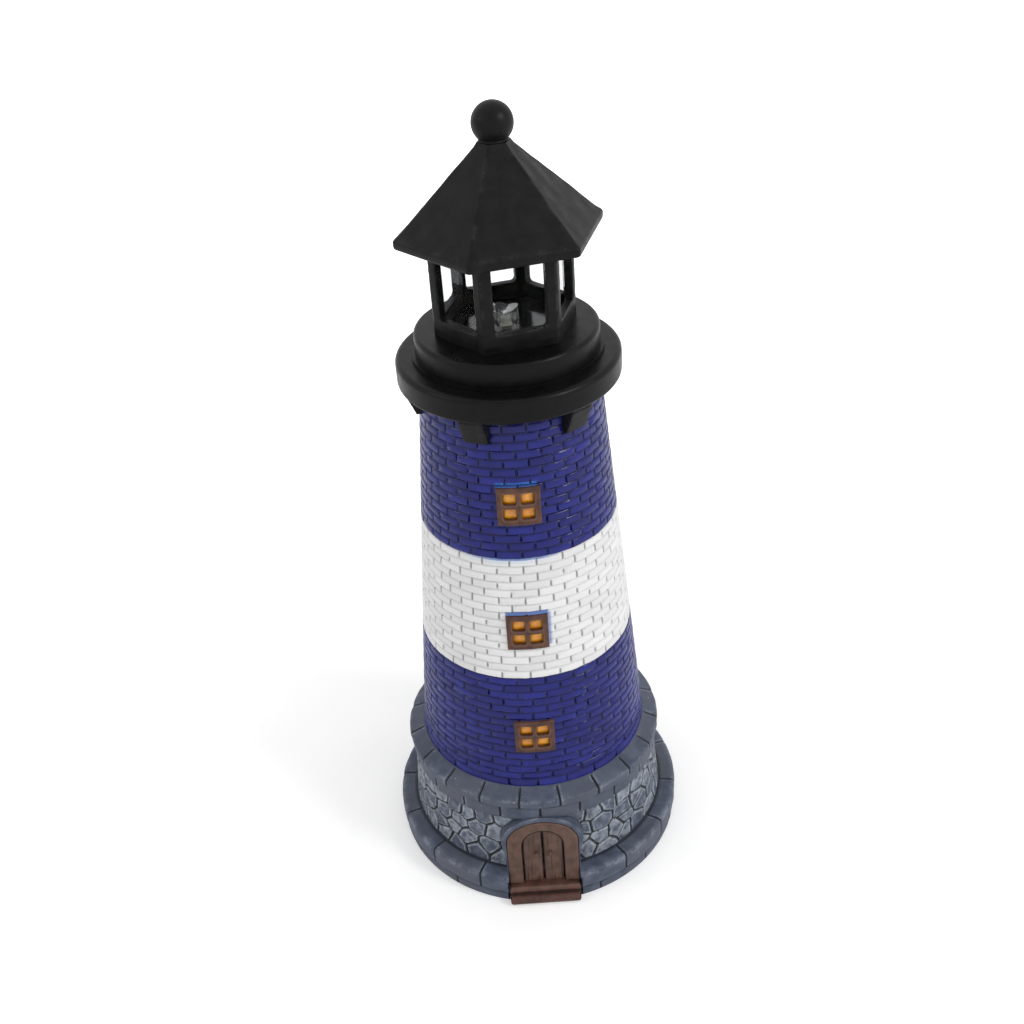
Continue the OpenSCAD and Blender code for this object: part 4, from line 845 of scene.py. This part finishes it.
# %% The wall, pressed in round the door and behind it
x_door = WALL_R * np.sin(np.radians(A))
arch = arch_distance(x_door, Z - DOOR_Z, DOOR_HALF, DOOR_H, DOOR_RISE)
arch = np.where(np.abs(off_by(A, 0.0)) < 60.0, arch, 99.0)
past_border = arch - border_width(Z - DOOR_Z)
bordered = past_border < 0.25
relief = np.where(bordered, -0.35, relief)
relief = np.where(arch < -2.5, -1.5, relief)
wall_r = 44.2 - 1.8 * (Z - WALL_Z) / (BAND_Z - WALL_Z)
paved = around(A, wall_r + np.minimum(relief, 0.0) - 0.05, Z)
inner = np.stack([around(columns, r, z) for r, z in ((40.0, BAND_Z), (39.0, BAND_Z), (40.8, WALL_Z))])
seam = 0.25 + 0.6 * bell(past_border, 0.0, 0.3)
joint = np.clip(np.where(bordered, seam, 1.0 - smooth(0.22, 0.6, e)), 0, 1)
# The edge mask is partly dry-brushed paint and partly a painted highlight along the stones' edges.
edge = np.where(bordered, 0.0, bell(e, 0.78, 0.22))
piece("paved_wall", looped(np.concatenate([paved, inner])), "paved_stone", "tower", "plinth_wall", sharp=60,
      merge=False, joint=padded(joint, 3), edge=padded(edge, 3), tone=padded(tone, 3))

# %% [markdown]
# ## The brick band on top of the wall
# A single course of thin bricks levels the paving for the coping. It stands out by less than a
# millimetre, and its joints lie halfway between the coping's. It is made like the coping.

# %% Brick band
BRICK_R = 43.0
band_joints = coping_joints + 180.0 / COPING_STONES
band = line_of((39.0, BAND_Z), (41.6, BAND_Z), arc(42.6, BAND_Z + 0.45, 0.4, -90, 0, 4), (BRICK_R, 34.5),
               (BRICK_R, 36.4), arc(42.7, 37.6, 0.3, 0, 90, 4), (42.0, COPING_Z - 0.2), (41.0, COPING_Z),
               (39.0, COPING_Z))
azimuth = stone_columns(band_joints, BRICK_R)
pressed, near = joint_depth(azimuth, band_joints, BRICK_R, 0.28)
weight = smooth(41.6, 42.4, band[:, :1])
uneven = 0.07 * waves(turn_profile(azimuth, band), 4.0, 41)
relief = weight * (-0.5 * pressed - 0.1 * near + uneven) - 0.05 * weight
# Dark lines along the band's top and bottom: joints, darkened further as painted shade where the band lies
# under the coping and overhangs the wall.
lines = bell(band[:, 1:], BAND_Z, 0.3) + bell(band[:, 1:], COPING_Z, 0.3)
tone = stone_tones(stone_number(azimuth, band_joints), 5, 7, len(band))
piece("brick_band", looped(turn_profile(azimuth, band, relief)), "coping_stone", "tower", "plinth_wall",
      sharp=50, merge=False, joint=np.clip(np.maximum(weight * pressed, lines), 0, 1),
      edge=np.clip(weight * near, 0, 1), tone=tone)

# %% [markdown]
# ## Door surround
# The surround is one wide arched band, carried along its path with a softly rounded section. A
# band of one width could be swept, but here the inner and outer outlines are half ellipses of
# different shape on straight legs, so a point between them lies in the same proportion on both.

# %% The path over the arch, up one leg and down the other
LEG_STEPS, ARC_STEPS = 8, 49
turned, leg = np.radians(np.linspace(0, 180, ARC_STEPS)), np.ones(LEG_STEPS)
climb = np.linspace(0, 1, LEG_STEPS + 1)[:-1]
path_x = np.concatenate([-leg, -np.cos(turned), leg])[:, None]
path_rise = np.concatenate([0 * leg, np.sin(turned), 0 * leg])[:, None]
path_leg = np.concatenate([climb, np.ones(ARC_STEPS), climb[::-1]])[:, None]
print("points along the arch:", len(path_x))

# %% Door surround
BAND_OUT, BAND_IN, PROUD, SUNK = DOOR_HALF - 0.02, LEAF_HALF, 1.8, -1.4
section = line_of(arc(BAND_OUT - 0.8, PROUD - 0.85, 0.8, 0, 90, 6), (10.0, PROUD), (8.6, PROUD),
                  arc(BAND_IN + 0.5, PROUD - 0.5, 0.5, 90, 180, 5), (BAND_IN, 0.6), (BAND_IN, SUNK),
                  (BAND_OUT, SUNK), (BAND_OUT, -0.2), (BAND_OUT, 0.4))
w, d = section.T
share = (w - LEAF_HALF) / (DOOR_HALF - LEAF_HALF)
spring = LEAF_H - LEAF_RISE + share * (DOOR_H - DOOR_RISE - LEAF_H + LEAF_RISE)
rise = LEAF_RISE + share * (DOOR_RISE - LEAF_RISE)
points = door_place(path_x * w, d, path_leg * spring + path_rise * rise)
points[..., 1] += 0.07 * waves(points, 3.0, 51) * smooth(0.5, 1.2, d)
# edge is a painted highlight along the outer rounded edge; shade darkens the inner rim and the outer side.
edge = 0.6 * bell(np.hypot(w - BAND_OUT, d - PROUD), 0.3, 0.3) + 0 * path_x
shade = bell(w, BAND_IN, 0.3, 4) + 0.8 * (w > BAND_OUT - 0.05) + 0 * path_x
piece("door_frame", tube(points), "door_paint", "tower", "door_surround", edge=capped(edge),
      joint=capped(shade))

# %% [markdown]
# ## The stone border over the door
# The paving ends at the door in a smooth stone band, broadest over the arch and nearly flush
# with the surround. It follows the same path as the surround, with a section whose width
# changes along the way.

# %% Stone border
CLEARANCE, LOW_LEG = 0.05, 5.0
border = line_of((0.0, -3.2), (0.0, 1.2), (0.06, 1.38), (0.15, 1.42), (0.5, 1.42), (0.85, 1.35), (0.96, 1.2),
                 (1.0, 0.9), (1.0, -3.2))[::-1]
part, d = border.T
leg = LOW_LEG + (DOOR_H - DOOR_RISE - LOW_LEG) * path_leg
out = CLEARANCE + part * border_width(leg + path_rise * DOOR_RISE)
points = door_place(path_x * (DOOR_HALF + out), d, leg + path_rise * (DOOR_RISE + out))
points[..., 1] += 0.08 * (waves(points, 3.0, 53) + 1.0) * smooth(0.5, 1.1, d)
# rim is a painted highlight along the border's rounded outer edge; seam darkens the joints at both sides.
rim = bell(part, 0.9, 0.08) + 0 * path_x
seam = (1.0 * (part < 0.03) + 0.2 * (part > 0.97)) * (d < 1.3) + 0 * path_x
piece("arch_border", tube(points), "coping_stone", "tower", "plinth_wall", joint=capped(seam),
      edge=capped(rim), tone=capped(0.2 + 0 * rim))

# %% [markdown]
# ## Door leaves
# Two leaves of planks meet in the middle under a flatter arch. The grain was carved in the
# pattern, so it is relief: a wave that changes quickly across the leaf and slowly up it. Black
# wash fills the grain and the line all round, also where the surround hides the leaf's edge.

# %% Door leaves
GAP, LEAF_FRONT, LEAF_BACK = 0.25, 0.9, -1.35
for side, node in ((-1, "door_leaf_left"), (1, "door_leaf_right")):
    x = side * np.linspace(GAP, LEAF_HALF - 0.12, 60)[:: side]
    top = LEAF_H - LEAF_RISE + LEAF_RISE * np.sqrt(1.0 - (x / LEAF_HALF) ** 2)
    h = np.linspace(0.0, 1.0, 90)[:, None] * (top - 0.12)
    X = np.broadcast_to(x, h.shape)
    rim = np.minimum(np.minimum(np.abs(X) - GAP, LEAF_HALF - 0.1 - np.abs(X)), top - 0.12 - h)
    grain = waves(np.stack([X, 0 * X, h * 0.05], -1), 0.75, 61, 12)
    front = LEAF_FRONT - 0.35 * (1.0 - smooth(0.0, 0.45, rim)) - 0.1 * smooth(0.1, 0.9, grain) - 0.05
    wash = np.minimum(rim, top - 0.85 - h)
    joint = np.clip(1.0 - smooth(0.05, 0.3, wash) + 0.55 * smooth(0.45, 1.0, grain), 0, 1)
    solid = walled(door_place(X, front, h), door_place(X, LEAF_BACK, h), wrap=False)
    piece(node + "_carved", solid, "door_paint", "tower", node, joint=front_only(joint))

# %% [markdown]
# ## Knobs
# Each leaf has a small turned knob on a short neck. Its profile is turned about an axis that
# stands on the door's plane, so across and up are found from the door's own directions.

# %% Knobs
KNOB_X, KNOB_H = 2.3, 12.4
turn = np.radians(np.linspace(0.0, 360.0, 25)[:-1])
profile = line_of((0.0, 0.9), (0.45, 0.9), (0.45, 1.1), arc(0.0, 1.75, 0.75, -50, 90, 12))
r, d = profile[:, :1], profile[:, 1:]
across, up = r * np.cos(turn), r * np.sin(turn)
knobs = [revolved(door_place(middle + across, d, KNOB_H + up)) for middle in (-KNOB_X, KNOB_X)]
piece("turned_knobs", together(*knobs), "knob_paint", "tower", "door_knobs")

# %% [markdown]
# ## The step
# A two-tier section with rounded noses is drawn out along x. Near both ends it shrinks towards
# its middle along a quarter circle, which rounds the ends as on a cast block.

# %% Two-tier step
STEP_HALF, END_R, MIDDLE_Y, MIDDLE_Z = 11.95, 0.8, -46.5, 3.0
section = line_of((-43.3, 6.1), (-45.0, 6.1), (-46.6, 6.1), arc(-47.7, 4.8, 1.28, 90, 190, 8),
                  (-48.85, 3.95), (-48.75, 3.6), (-49.0, 3.44), arc(-49.45, 1.75, 1.73, 86, 270, 14),
                  (-47.0, 0.02), (-43.3, 0.02))
nosed = STEP_HALF - np.array([0.0, 0.04, 0.2, 0.45])
x = np.concatenate([-nosed, np.linspace(END_R - STEP_HALF, STEP_HALF - END_R, 50), nosed[::-1]])[:, None]
past = (np.abs(x) - STEP_HALF + END_R).clip(0) / END_R
inset = 0.6 * (1.0 - np.sqrt(np.clip(1.0 - past ** 2, 0, 1)))
y, z = section.T
drawn_y = y + inset * np.sign(MIDDLE_Y - y) * (y < -44)
points = np.stack(np.broadcast_arrays(x, drawn_y, z + inset * np.sign(MIDDLE_Z - z)), -1)
points[..., 2] += 0.06 * (waves(points, 4.0, 71) - 1.0) * (z > 5.0) * smooth(-44.0, -46.0, y)
# Painted shade in the crease under the upper tier's nose, and a painted highlight along that nose.
crease_shade = bell(np.hypot(y + 48.85, z - 3.6), 0.0, 0.4) + 0 * x
nose_highlight = bell(y, -48.3, 0.6) * (z > 4.6) + 0 * x
piece("door_steps", tube(points), "step_paint", "tower", "door_step", joint=capped(crease_shade), edge=capped(nose_highlight))

# %% [markdown]
# ## Windows
# A frame is a flat plate bent to the tower, with four lights that have rounded corners. Holes
# could be cut with a Boolean, which leaves ragged facets. Here the plate is a grid of cells: the
# cells inside a light are dropped, and the grid points that border a light are moved onto its
# rounded outline, so a plain grid gives clean round corners.

# %% Lights cut from a grid
def to_outline(u, v, half_u, half_v, rho):
    """Nearest point of a rounded rectangle's outline: on its corner circle or its nearer side."""
    qu, qv = np.abs(u) - (half_u - rho), np.abs(v) - (half_v - rho)
    corner = (qu > 0) & (qv > 0)
    length = np.maximum(np.hypot(qu, qv), 1e-9)
    on_u = qu > qv
    nu = np.where(corner, half_u - rho + rho * qu / length, np.where(on_u, half_u, np.abs(u)))
    nv = np.where(corner, half_v - rho + rho * qv / length, np.where(on_u, np.abs(v), half_v))
    return np.sign(u) * nu, np.sign(v) * nv


def rounded_distance(u, v, half_u, half_v, rho):
    """Signed distance to a rounded rectangle, negative inside."""
    qu, qv = np.abs(u) - (half_u - rho), np.abs(v) - (half_v - rho)
    return np.hypot(qu.clip(0), qv.clip(0)) + np.minimum(np.maximum(qu, qv), 0) - rho


def perforated(us, vs, holes):
    """Grid moved onto the outlines of holes (u, v, half_u, half_v, rho), and the cells to keep."""
    V, U = np.meshgrid(vs, us, indexing="ij")
    keep = np.ones((len(vs) - 1, len(us) - 1), bool)
    mid_u, mid_v = (U[1:, 1:] + U[:-1, :-1]) / 2, (V[1:, 1:] + V[:-1, :-1]) / 2
    for cu, cv, *size in holes:
        gone = rounded_distance(mid_u - cu, mid_v - cv, *size) < 0
        keep &= ~gone
        touching, staying = np.zeros(U.shape, bool), np.zeros(U.shape, bool)
        for di in (0, 1):
            for dj in (0, 1):
                window = (slice(di, di + gone.shape[0]), slice(dj, dj + gone.shape[1]))
                touching[window] |= gone
                staying[window] |= ~gone
        nu, nv = to_outline(U - cu, V - cv, *size)
        U = np.where(touching & staying, cu + nu, U)
        V = np.where(touching & staying, cv + nv, V)
    return U, V, keep


# %% The four lights, and places on the cone
def on_tower(u, v, zc, offset):
    """Point at x = u and height zc + v, offset in front of the tower's face."""
    r = tower_r(zc + v) + offset
    return np.stack([u, -np.sqrt(r ** 2 - u ** 2), zc + v], -1)


BAR, MUNTIN, LIGHT_RHO, PANE_U, PANE_V = 1.8, 1.3, 0.6, 5.35, 4.95
light_u, light_v = (WINDOW_W - 2 * BAR - MUNTIN) / 4, (WINDOW_H - 2 * BAR - MUNTIN) / 4
lights = [(su * (light_u + MUNTIN / 2), sv * (light_v + MUNTIN / 2), light_u, light_v, LIGHT_RHO)
          for su in (-1, 1) for sv in (-1, 1)]
us, vs = np.linspace(-WINDOW_W / 2, WINDOW_W / 2, 53), np.linspace(-WINDOW_H / 2, WINDOW_H / 2, 49)
print("lights:", len(lights), "of", round(2 * light_u, 2), "x", round(2 * light_v, 2), "mm")


# %% A frame, with rounded edges on both outlines
def window_frame(name, zc):
    """Plate whose face sinks within 0.35 mm of its outline and of each light."""
    U, V, keep = perforated(us, vs, lights)
    border = rounded_distance(U, V, WINDOW_W / 2, WINDOW_H / 2, 0.5)
    to_light = np.min([rounded_distance(U - cu, V - cv, *size) for cu, cv, *size in lights], 0)
    rounding = 1.0 - smooth(0.0, 0.35, np.minimum(-border, to_light))
    rise = 0.75 - 0.28 * rounding + 0.05 * waves(np.stack([U, V, U * 0 + zc], -1), 3.0, 81)
    solid = walled(on_tower(U, V, zc, rise), on_tower(U, V, zc, -0.28), keep, wrap=False)
    # The edge mask is a painted highlight along the rounded edge round each light.
    piece("window_frame_" + name + "_cast", solid, "window_frame_paint", "tower", "window_frame_" + name,
          edge=front_only(bell(to_light, 0.3, 0.25)))


# %% Panes, pillowed in each light, with painted shadow at its rim and one corner
def window_panes(name, zc):
    """Sheet that rises by 0.16 mm inside each light, with a mask of painted shadow at each light's rim and
    upper left corner.
    """
    V, U = np.meshgrid(np.linspace(-PANE_V, PANE_V, 45), np.linspace(-PANE_U, PANE_U, 47), indexing="ij")
    pillow, painted_shadow = 0.0, 0.0
    for cu, cv, hu, hv, rho in lights:
        inside = -rounded_distance(U - cu, V - cv, hu + 0.1, hv + 0.1, rho)
        pillow = pillow + 0.16 * smooth(0.0, 0.8, inside)
        # painted shadow in the upper left corner of each light and along its rim, where the frame shades the
        # pane
        painted_shadow = painted_shadow + 0.8 * bell(U, cu - hu, 1.1) * bell(V, cv + hv, 0.8)
        painted_shadow = painted_shadow + 0.7 * (inside > -0.4) * (1.0 - smooth(0.0, 0.3, inside))
    solid = walled(on_tower(U, V, zc, -0.78 + pillow), on_tower(U, V, zc, -1.18), wrap=False)
    piece("window_panes_" + name + "_poured", solid, "amber_pane", "tower", "window_panes_" + name,
          joint=front_only(np.clip(painted_shadow, 0, 1)))


for name, zc in WINDOWS.items():
    window_frame(name, zc)
    window_panes(name, zc)

# %% [markdown]
# ## Corbels
# Six wedges carry the gallery. Each is a wedge-shaped outline carried across its width, a
# little smaller at both ends so that its edges are rounded, and turned to its place.

# %% Corbels
def filled(polygon, step):
    """Outline with extra points, so that no side is longer than step."""
    stretches = []
    for a, b in zip(polygon, np.roll(polygon, -1, 0)):
        count = max(1, int(np.ceil(np.linalg.norm(b - a) / step)))
        stretches.append(a + (b - a) * np.linspace(0, 1, count, endpoint=False)[:, None])
    return np.concatenate(stretches)


CORBEL_TURN, CORBEL_W, CORBEL_R, CORBEL_Z = 38.0, 7.4, 28.0, 172.0
UPRIGHT = np.array([0.0, 0.0, 1.0])
wedge = filled(line_of((26.4, 176.1), (27.0, 167.7), (28.75, 167.7), (31.8, 175.2), (31.8, 176.1)), 0.8)
across = np.array([-1.0, -0.97, -0.9, -0.6, -0.2, 0.2, 0.6, 0.9, 0.97, 1.0])[:, None] * CORBEL_W / 2
shrink = np.array([0.94, 0.97, 1, 1, 1, 1, 1, 1, 0.97, 0.94])[:, None]
flat, up = CORBEL_R + (wedge[:, 0] - CORBEL_R) * shrink, CORBEL_Z + (wedge[:, 1] - CORBEL_Z) * shrink
# front_face marks the slanted fronts, which are painted paler as a painted highlight, most towards their
# sides, where it is also wear.
front_face = smooth(28.0, 28.6, wedge[:, 0]) + 0 * across
solids, wear_and_highlight = [], []
for k in range(6):
    a = np.radians(CORBEL_TURN + 60.0 * k)
    radial, tangent = np.array([np.sin(a), -np.cos(a), 0.0]), np.array([np.cos(a), np.sin(a), 0.0])
    points = flat[..., None] * radial + across[..., None] * tangent + up[..., None] * UPRIGHT
    points = points - (0.05 + 0.05 * waves(points, 2.5, 91 + k))[..., None] * radial * front_face[..., None]
    solids.append(tube(points))
    wear_and_highlight.append(capped(0.5 * front_face * (0.55 + 0.45 * np.abs(across) / (CORBEL_W / 2))).ravel())
piece("cast_corbels", together(*solids), "black_casting", "tower", "corbels", sharp=40,
      edge=np.concatenate(wear_and_highlight))

# %% [markdown]
# ## Lantern cage
# The cage is a six-sided wall with a rounded opening in each side: posts, sill and lintel in
# one casting. It is made like the window frames. One face is a grid with a hole, and it is set
# six times side by side in a closed band, so the posts at the corners have no seam.

# %% One face of the cage as a grid
TURN, CAGE_R, CAGE_IN_R, CAGE_Z, CAGE_TOP = -17.0, 21.3, 18.3, 191.4, 218.2
SILL, LINTEL, POST, OPEN_RHO = 5.2, 2.2, 3.2, 1.2
APOTHEM = np.cos(np.pi / 6)
FACE_HALF, FACE_IN_HALF, OPEN_HALF = CAGE_R / 2, CAGE_IN_R / 2, CAGE_R / 2 - POST
low, high = CAGE_Z + SILL, CAGE_TOP - LINTEL
mid, half_v = (low + high) / 2, (high - low) / 2
beside = np.concatenate([np.linspace(OPEN_HALF - 1.8, OPEN_HALF + 1.2, 16),
                         np.linspace(OPEN_HALF + 1.2, FACE_HALF, 7)[1:]])
us = np.concatenate([-beside[::-1], np.linspace(1.8 - OPEN_HALF, OPEN_HALF - 1.8, 12)[1:-1], beside])
vs = np.concatenate([np.linspace(CAGE_Z, low - 0.7, 9)[:-1], np.linspace(low - 0.7, low + 2.1, 15),
                     np.linspace(low + 2.1, high - 1.9, 14)[1:-1], np.linspace(high - 1.9, high + 0.7, 14),
                     np.linspace(high + 0.7, CAGE_TOP, 5)[1:]])
U, V, keep = perforated(us, vs, [(0.0, mid, OPEN_HALF, half_v, OPEN_RHO)])
to_hole = rounded_distance(U, V - mid, OPEN_HALF, half_v, OPEN_RHO)
print("face grid:", U.shape, "opening:", 2 * OPEN_HALF, "x", 2 * half_v, "mm")


# %% Six faces side by side
def six_sides(u, v, apothem):
    """Each face: apothem along its normal and u along the face, with its last column dropped."""
    faces = []
    for k in range(6):
        a = np.radians(TURN + 30.0 + 60.0 * k)
        x = apothem * np.sin(a) + u * np.cos(a)
        y = -apothem * np.cos(a) + u * np.sin(a)
        faces.append(np.stack([x, y, v + 0 * x], -1)[:, :-1])
    return np.concatenate(faces, 1)


corner = smooth(FACE_HALF - 1.0, FACE_HALF, np.abs(U))
face_d = CAGE_R * APOTHEM - 0.08 - 0.32 * corner ** 2 - 0.3 * (1.0 - smooth(0.0, 0.45, to_hole))
face_d = face_d - 0.25 * smooth(CAGE_TOP - 0.6, CAGE_TOP, V)
outside = six_sides(U * (1 - 0.01 * corner), V, face_d)
outside[..., :2] *= (1.0 + 0.003 * np.minimum(waves(outside, 3.0, 95), 0.8))[..., None]

# %% The inner faces, and the cage
narrowed = OPEN_HALF + (np.abs(U) - OPEN_HALF) * (FACE_IN_HALF - OPEN_HALF) / (FACE_HALF - OPEN_HALF)
inner_u = np.where(np.abs(U) > OPEN_HALF, np.sign(U) * narrowed, U)
inside = six_sides(inner_u, V, CAGE_IN_R * APOTHEM + 0.2 * (1.0 - smooth(0.0, 0.4, to_hole)))
rub = bell(np.abs(U), FACE_HALF - 0.1, 0.35) + bell(to_hole, 0.25, 0.2)
rub = np.clip(np.tile(rub[:, :-1], (1, 6)), 0, 1)
piece("cast_cage", walled(outside, inside, np.tile(keep, (1, 6))), "black_casting", "head", "lantern_cage",
      sharp=45, edge=front_only(rub))

# %% [markdown]
# ## Roof
# The roof is a hexagon with rounded corners at every height, from its hollow to its top. Six
# flat plates would leave hard ridges, so each level has its own radius, height and corner
# radius, and the rows between them make soft ridges, a fascia and slightly uneven slopes.

# %% Levels of the roof: (circumradius, height, corner radius)
FASCIA_Z, EAVES_Z, ROOF_TOP, ROOF_R, TOP_R = 218.2, 220.9, 243.9, 29.96, 5.0
hollow = [(0.0, 230.2, 0.0), (3.0, 230.2, 0.5), (17.7, FASCIA_Z, 0.5), (ROOF_R - 1.3, FASCIA_Z, 1.1)]
fascia = [(ROOF_R - inset, FASCIA_Z + rise, 1.3) for inset, rise in
          ((0.4, 0.05), (0.1, 0.3), (0.0, 0.9), (0.0, 1.8), (0.1, 2.3), (0.45, 2.7))]
slope = [(ROOF_R - 1.0 + (TOP_R + 1.0 - ROOF_R) * t, EAVES_Z + 0.35 + (ROOF_TOP - EAVES_Z - 0.8) * t,
          1.2 - 0.5 * t) for t in np.linspace(0.0, 1.0, 34)[1:]]
peak = [(TOP_R - 0.25, ROOF_TOP - 0.08, 0.6), (TOP_R - 0.8, ROOF_TOP, 0.5), (0.0, ROOF_TOP, 0.0)]
levels = hollow + fascia + slope + peak
print("roof levels:", len(levels))


# %% Roof
def hexagon(phi, r, rho):
    """Radius at phi, from a corner, of a hexagon with circumradius r and corner radius rho."""
    d = np.radians((phi + 30.0) % 60.0 - 30.0)
    centre = r - rho / APOTHEM
    touch = np.arctan2(rho * 0.5, centre + rho * APOTHEM)
    on_corner = centre * np.cos(d) + np.sqrt(np.maximum(rho ** 2 - (centre * np.sin(d)) ** 2, 0.0))
    return np.where(np.abs(d) < touch, on_corner, r * APOTHEM / np.cos(np.radians(30.0) - np.abs(d)))


steps = np.array([0, 0.6, 1.2, 1.8, 2.6, 3.6, 5, 7, 9.5, 12.5, 16, 20, 25])
sixth = np.concatenate([steps, [30.0], 60.0 - steps[:0:-1]])
phi = np.concatenate([k * 60.0 + sixth for k in range(6)])
radius = np.stack([hexagon(phi, r, rho) if r else 0 * phi for r, z, rho in levels])
height = np.array([z for r, z, rho in levels])[:, None] + 0 * phi
points = around(TURN + phi, radius, height)
sloping = smooth(EAVES_Z, EAVES_Z + 1.0, height) * (1.0 - smooth(ROOF_TOP - 1.0, ROOF_TOP - 0.4, height))
normal = around(TURN + phi[None], 0.66, 0.75)
points = points + sloping[..., None] * normal * (0.09 * waves(points, 7.0, 97) - 0.12)[..., None]
ridge = bell(np.radians(np.abs((phi + 30.0) % 60.0 - 30.0)) * radius, 0.0, 0.5) * (height > EAVES_Z)
eave = bell(height, EAVES_Z + 0.1, 0.3) + bell(height, FASCIA_Z + 0.2, 0.2)
piece("cast_roof", revolved(points), "black_casting", "head", "roof", sharp=40,
      edge=np.clip(0.7 * ridge + 0.6 * eave, 0, 1))

# %% [markdown]
# ## Finial
# A ball on a short neck closes the roof. A plain sphere would lack the neck and its fillet, so
# neck and ball are one profile, turned round the axis, with a peg that goes into the roof.

# %% Finial
BALL_R, NECK_R, PEG_R, PEG_Z = 5.7, 3.9, 1.5, ROOF_TOP - 4.0
BALL_Z = ROOF_TOP + 0.4 + np.sqrt(BALL_R ** 2 - NECK_R ** 2)
turn = np.linspace(0.0, 360.0, 73)[:-1]
profile = line_of((0.0, PEG_Z), (PEG_R, PEG_Z), (PEG_R, ROOF_TOP + 0.03), (4.0, ROOF_TOP + 0.03),
                  (4.16, ROOF_TOP + 0.13), (4.12, ROOF_TOP + 0.3), arc(0.0, BALL_Z, BALL_R, -45, 90, 46))
points = around(turn, profile[:, :1], profile[:, 1:])
piece("turned_finial", revolved(points), "black_casting", "head", "finial", edge=0 * points[..., 0])

# %% [markdown]
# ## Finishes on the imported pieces
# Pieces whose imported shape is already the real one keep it. They come with one material for
# each slot that the record names, and the finishes above were written into those.

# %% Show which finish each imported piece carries
carried = {}
for node, obj in sorted(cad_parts.items()):
    carried.setdefault(obj.material_slots[0].material.name, []).append(node)
for title, nodes in carried.items():
    print(title, "->", ", ".join(nodes))

# %% [markdown]
# ## Floor
# The ornament stands on a pale floor that runs out into white. The floor keeps a soft shadow
# near the foot. Further out it glows for the camera's own rays alone, and faintly for mirrored
# ones, so it turns white without putting more light on the object.

# %% Floor
HALF_FLOOR, PAPER = 3, 0.00005
floor = bpy.data.meshes.new("floor")
corners = [(x * HALF_FLOOR, y * HALF_FLOOR, 0) for x, y in ((-1, -1), (1, -1), (1, 1), (-1, 1))]
floor.from_pydata(corners, [], [(0, 1, 2, 3)])
floor = bpy.data.objects.new("floor", floor)
floor.location.z = -PAPER
bpy.context.scene.collection.objects.link(floor)
white_light = {"Specular_IOR_Level": 0.1, "Emission_Color": (1.0, 1.0, 1.0, 1.0)}
tree, inputs, place, grain = finish("pale_floor", 0.9, 0.2, **white_light)
colour = blend(tree, grain["Tone"], (0.9, 0.9, 0.9, 1.0), (0.92, 0.92, 0.92, 1.0))
tree.links.new(colour, inputs["Base Color"])
from_foot = add(tree, "VectorMath", {0: place}, operation="LENGTH").outputs["Value"]
glow = remap(tree, from_foot, 0.05, 0.5, 0.3, 1.0)
path = add(tree, "LightPath").outputs
mirrored = calc(tree, "MAXIMUM", path["Is Glossy Ray"], path["Is Transmission Ray"])
seen = calc(tree, "MAXIMUM", path["Is Camera Ray"], times(tree, mirrored, 0.35))
tree.links.new(times(tree, glow, seen), inputs["Emission Strength"])
floor.data.materials.append(bpy.data.materials["pale_floor"])

# %% [markdown]
# ## Light
# White surroundings keep the outline clear. One lamp from the right front gives the highlights,
# and a weaker one on the left opens the shadows. Both could be larger and nearer, but dark
# glossy paint would mirror them as a grey veil.

# %% Lamps
def area(name, size, power, place, target=(0.0, 0.0, 0.12)):
    """A round lamp of that size and power in watts, turned to the middle of the ornament."""
    lamp = bpy.data.objects.new(name, bpy.data.lights.new(name, "AREA"))
    lamp.data.shape, lamp.data.size, lamp.data.energy = "DISK", size, power
    lamp.location = place
    lamp.rotation_euler = (Vector(target) - lamp.location).to_track_quat("-Z", "Y").to_euler()
    bpy.context.scene.collection.objects.link(lamp)


area("key", 0.45, 8.0, (1.2, -0.7, 1.1))
area("fill", 0.3, 1.2, (-1.2, -0.3, 0.8))

# %% Surroundings: white to the camera and in mirrors, a little less as light
AS_LIGHT = 0.72
world = bpy.data.worlds.new("studio")
bpy.context.scene.world = world
world.use_nodes = True
tree = world.node_tree
background = tree.nodes["Background"].inputs
path = add(tree, "LightPath").outputs
mirrored = calc(tree, "MAXIMUM", path["Is Glossy Ray"], path["Is Transmission Ray"])
seen = calc(tree, "MAXIMUM", path["Is Camera Ray"], mirrored)
tree.links.new(calc(tree, "MULTIPLY_ADD", seen, 1.0 - AS_LIGHT, AS_LIGHT), background["Strength"])
background["Color"].default_value = (1.0, 1.0, 1.0, 1.0)
bpy.context.scene.view_settings.view_transform = "Standard"
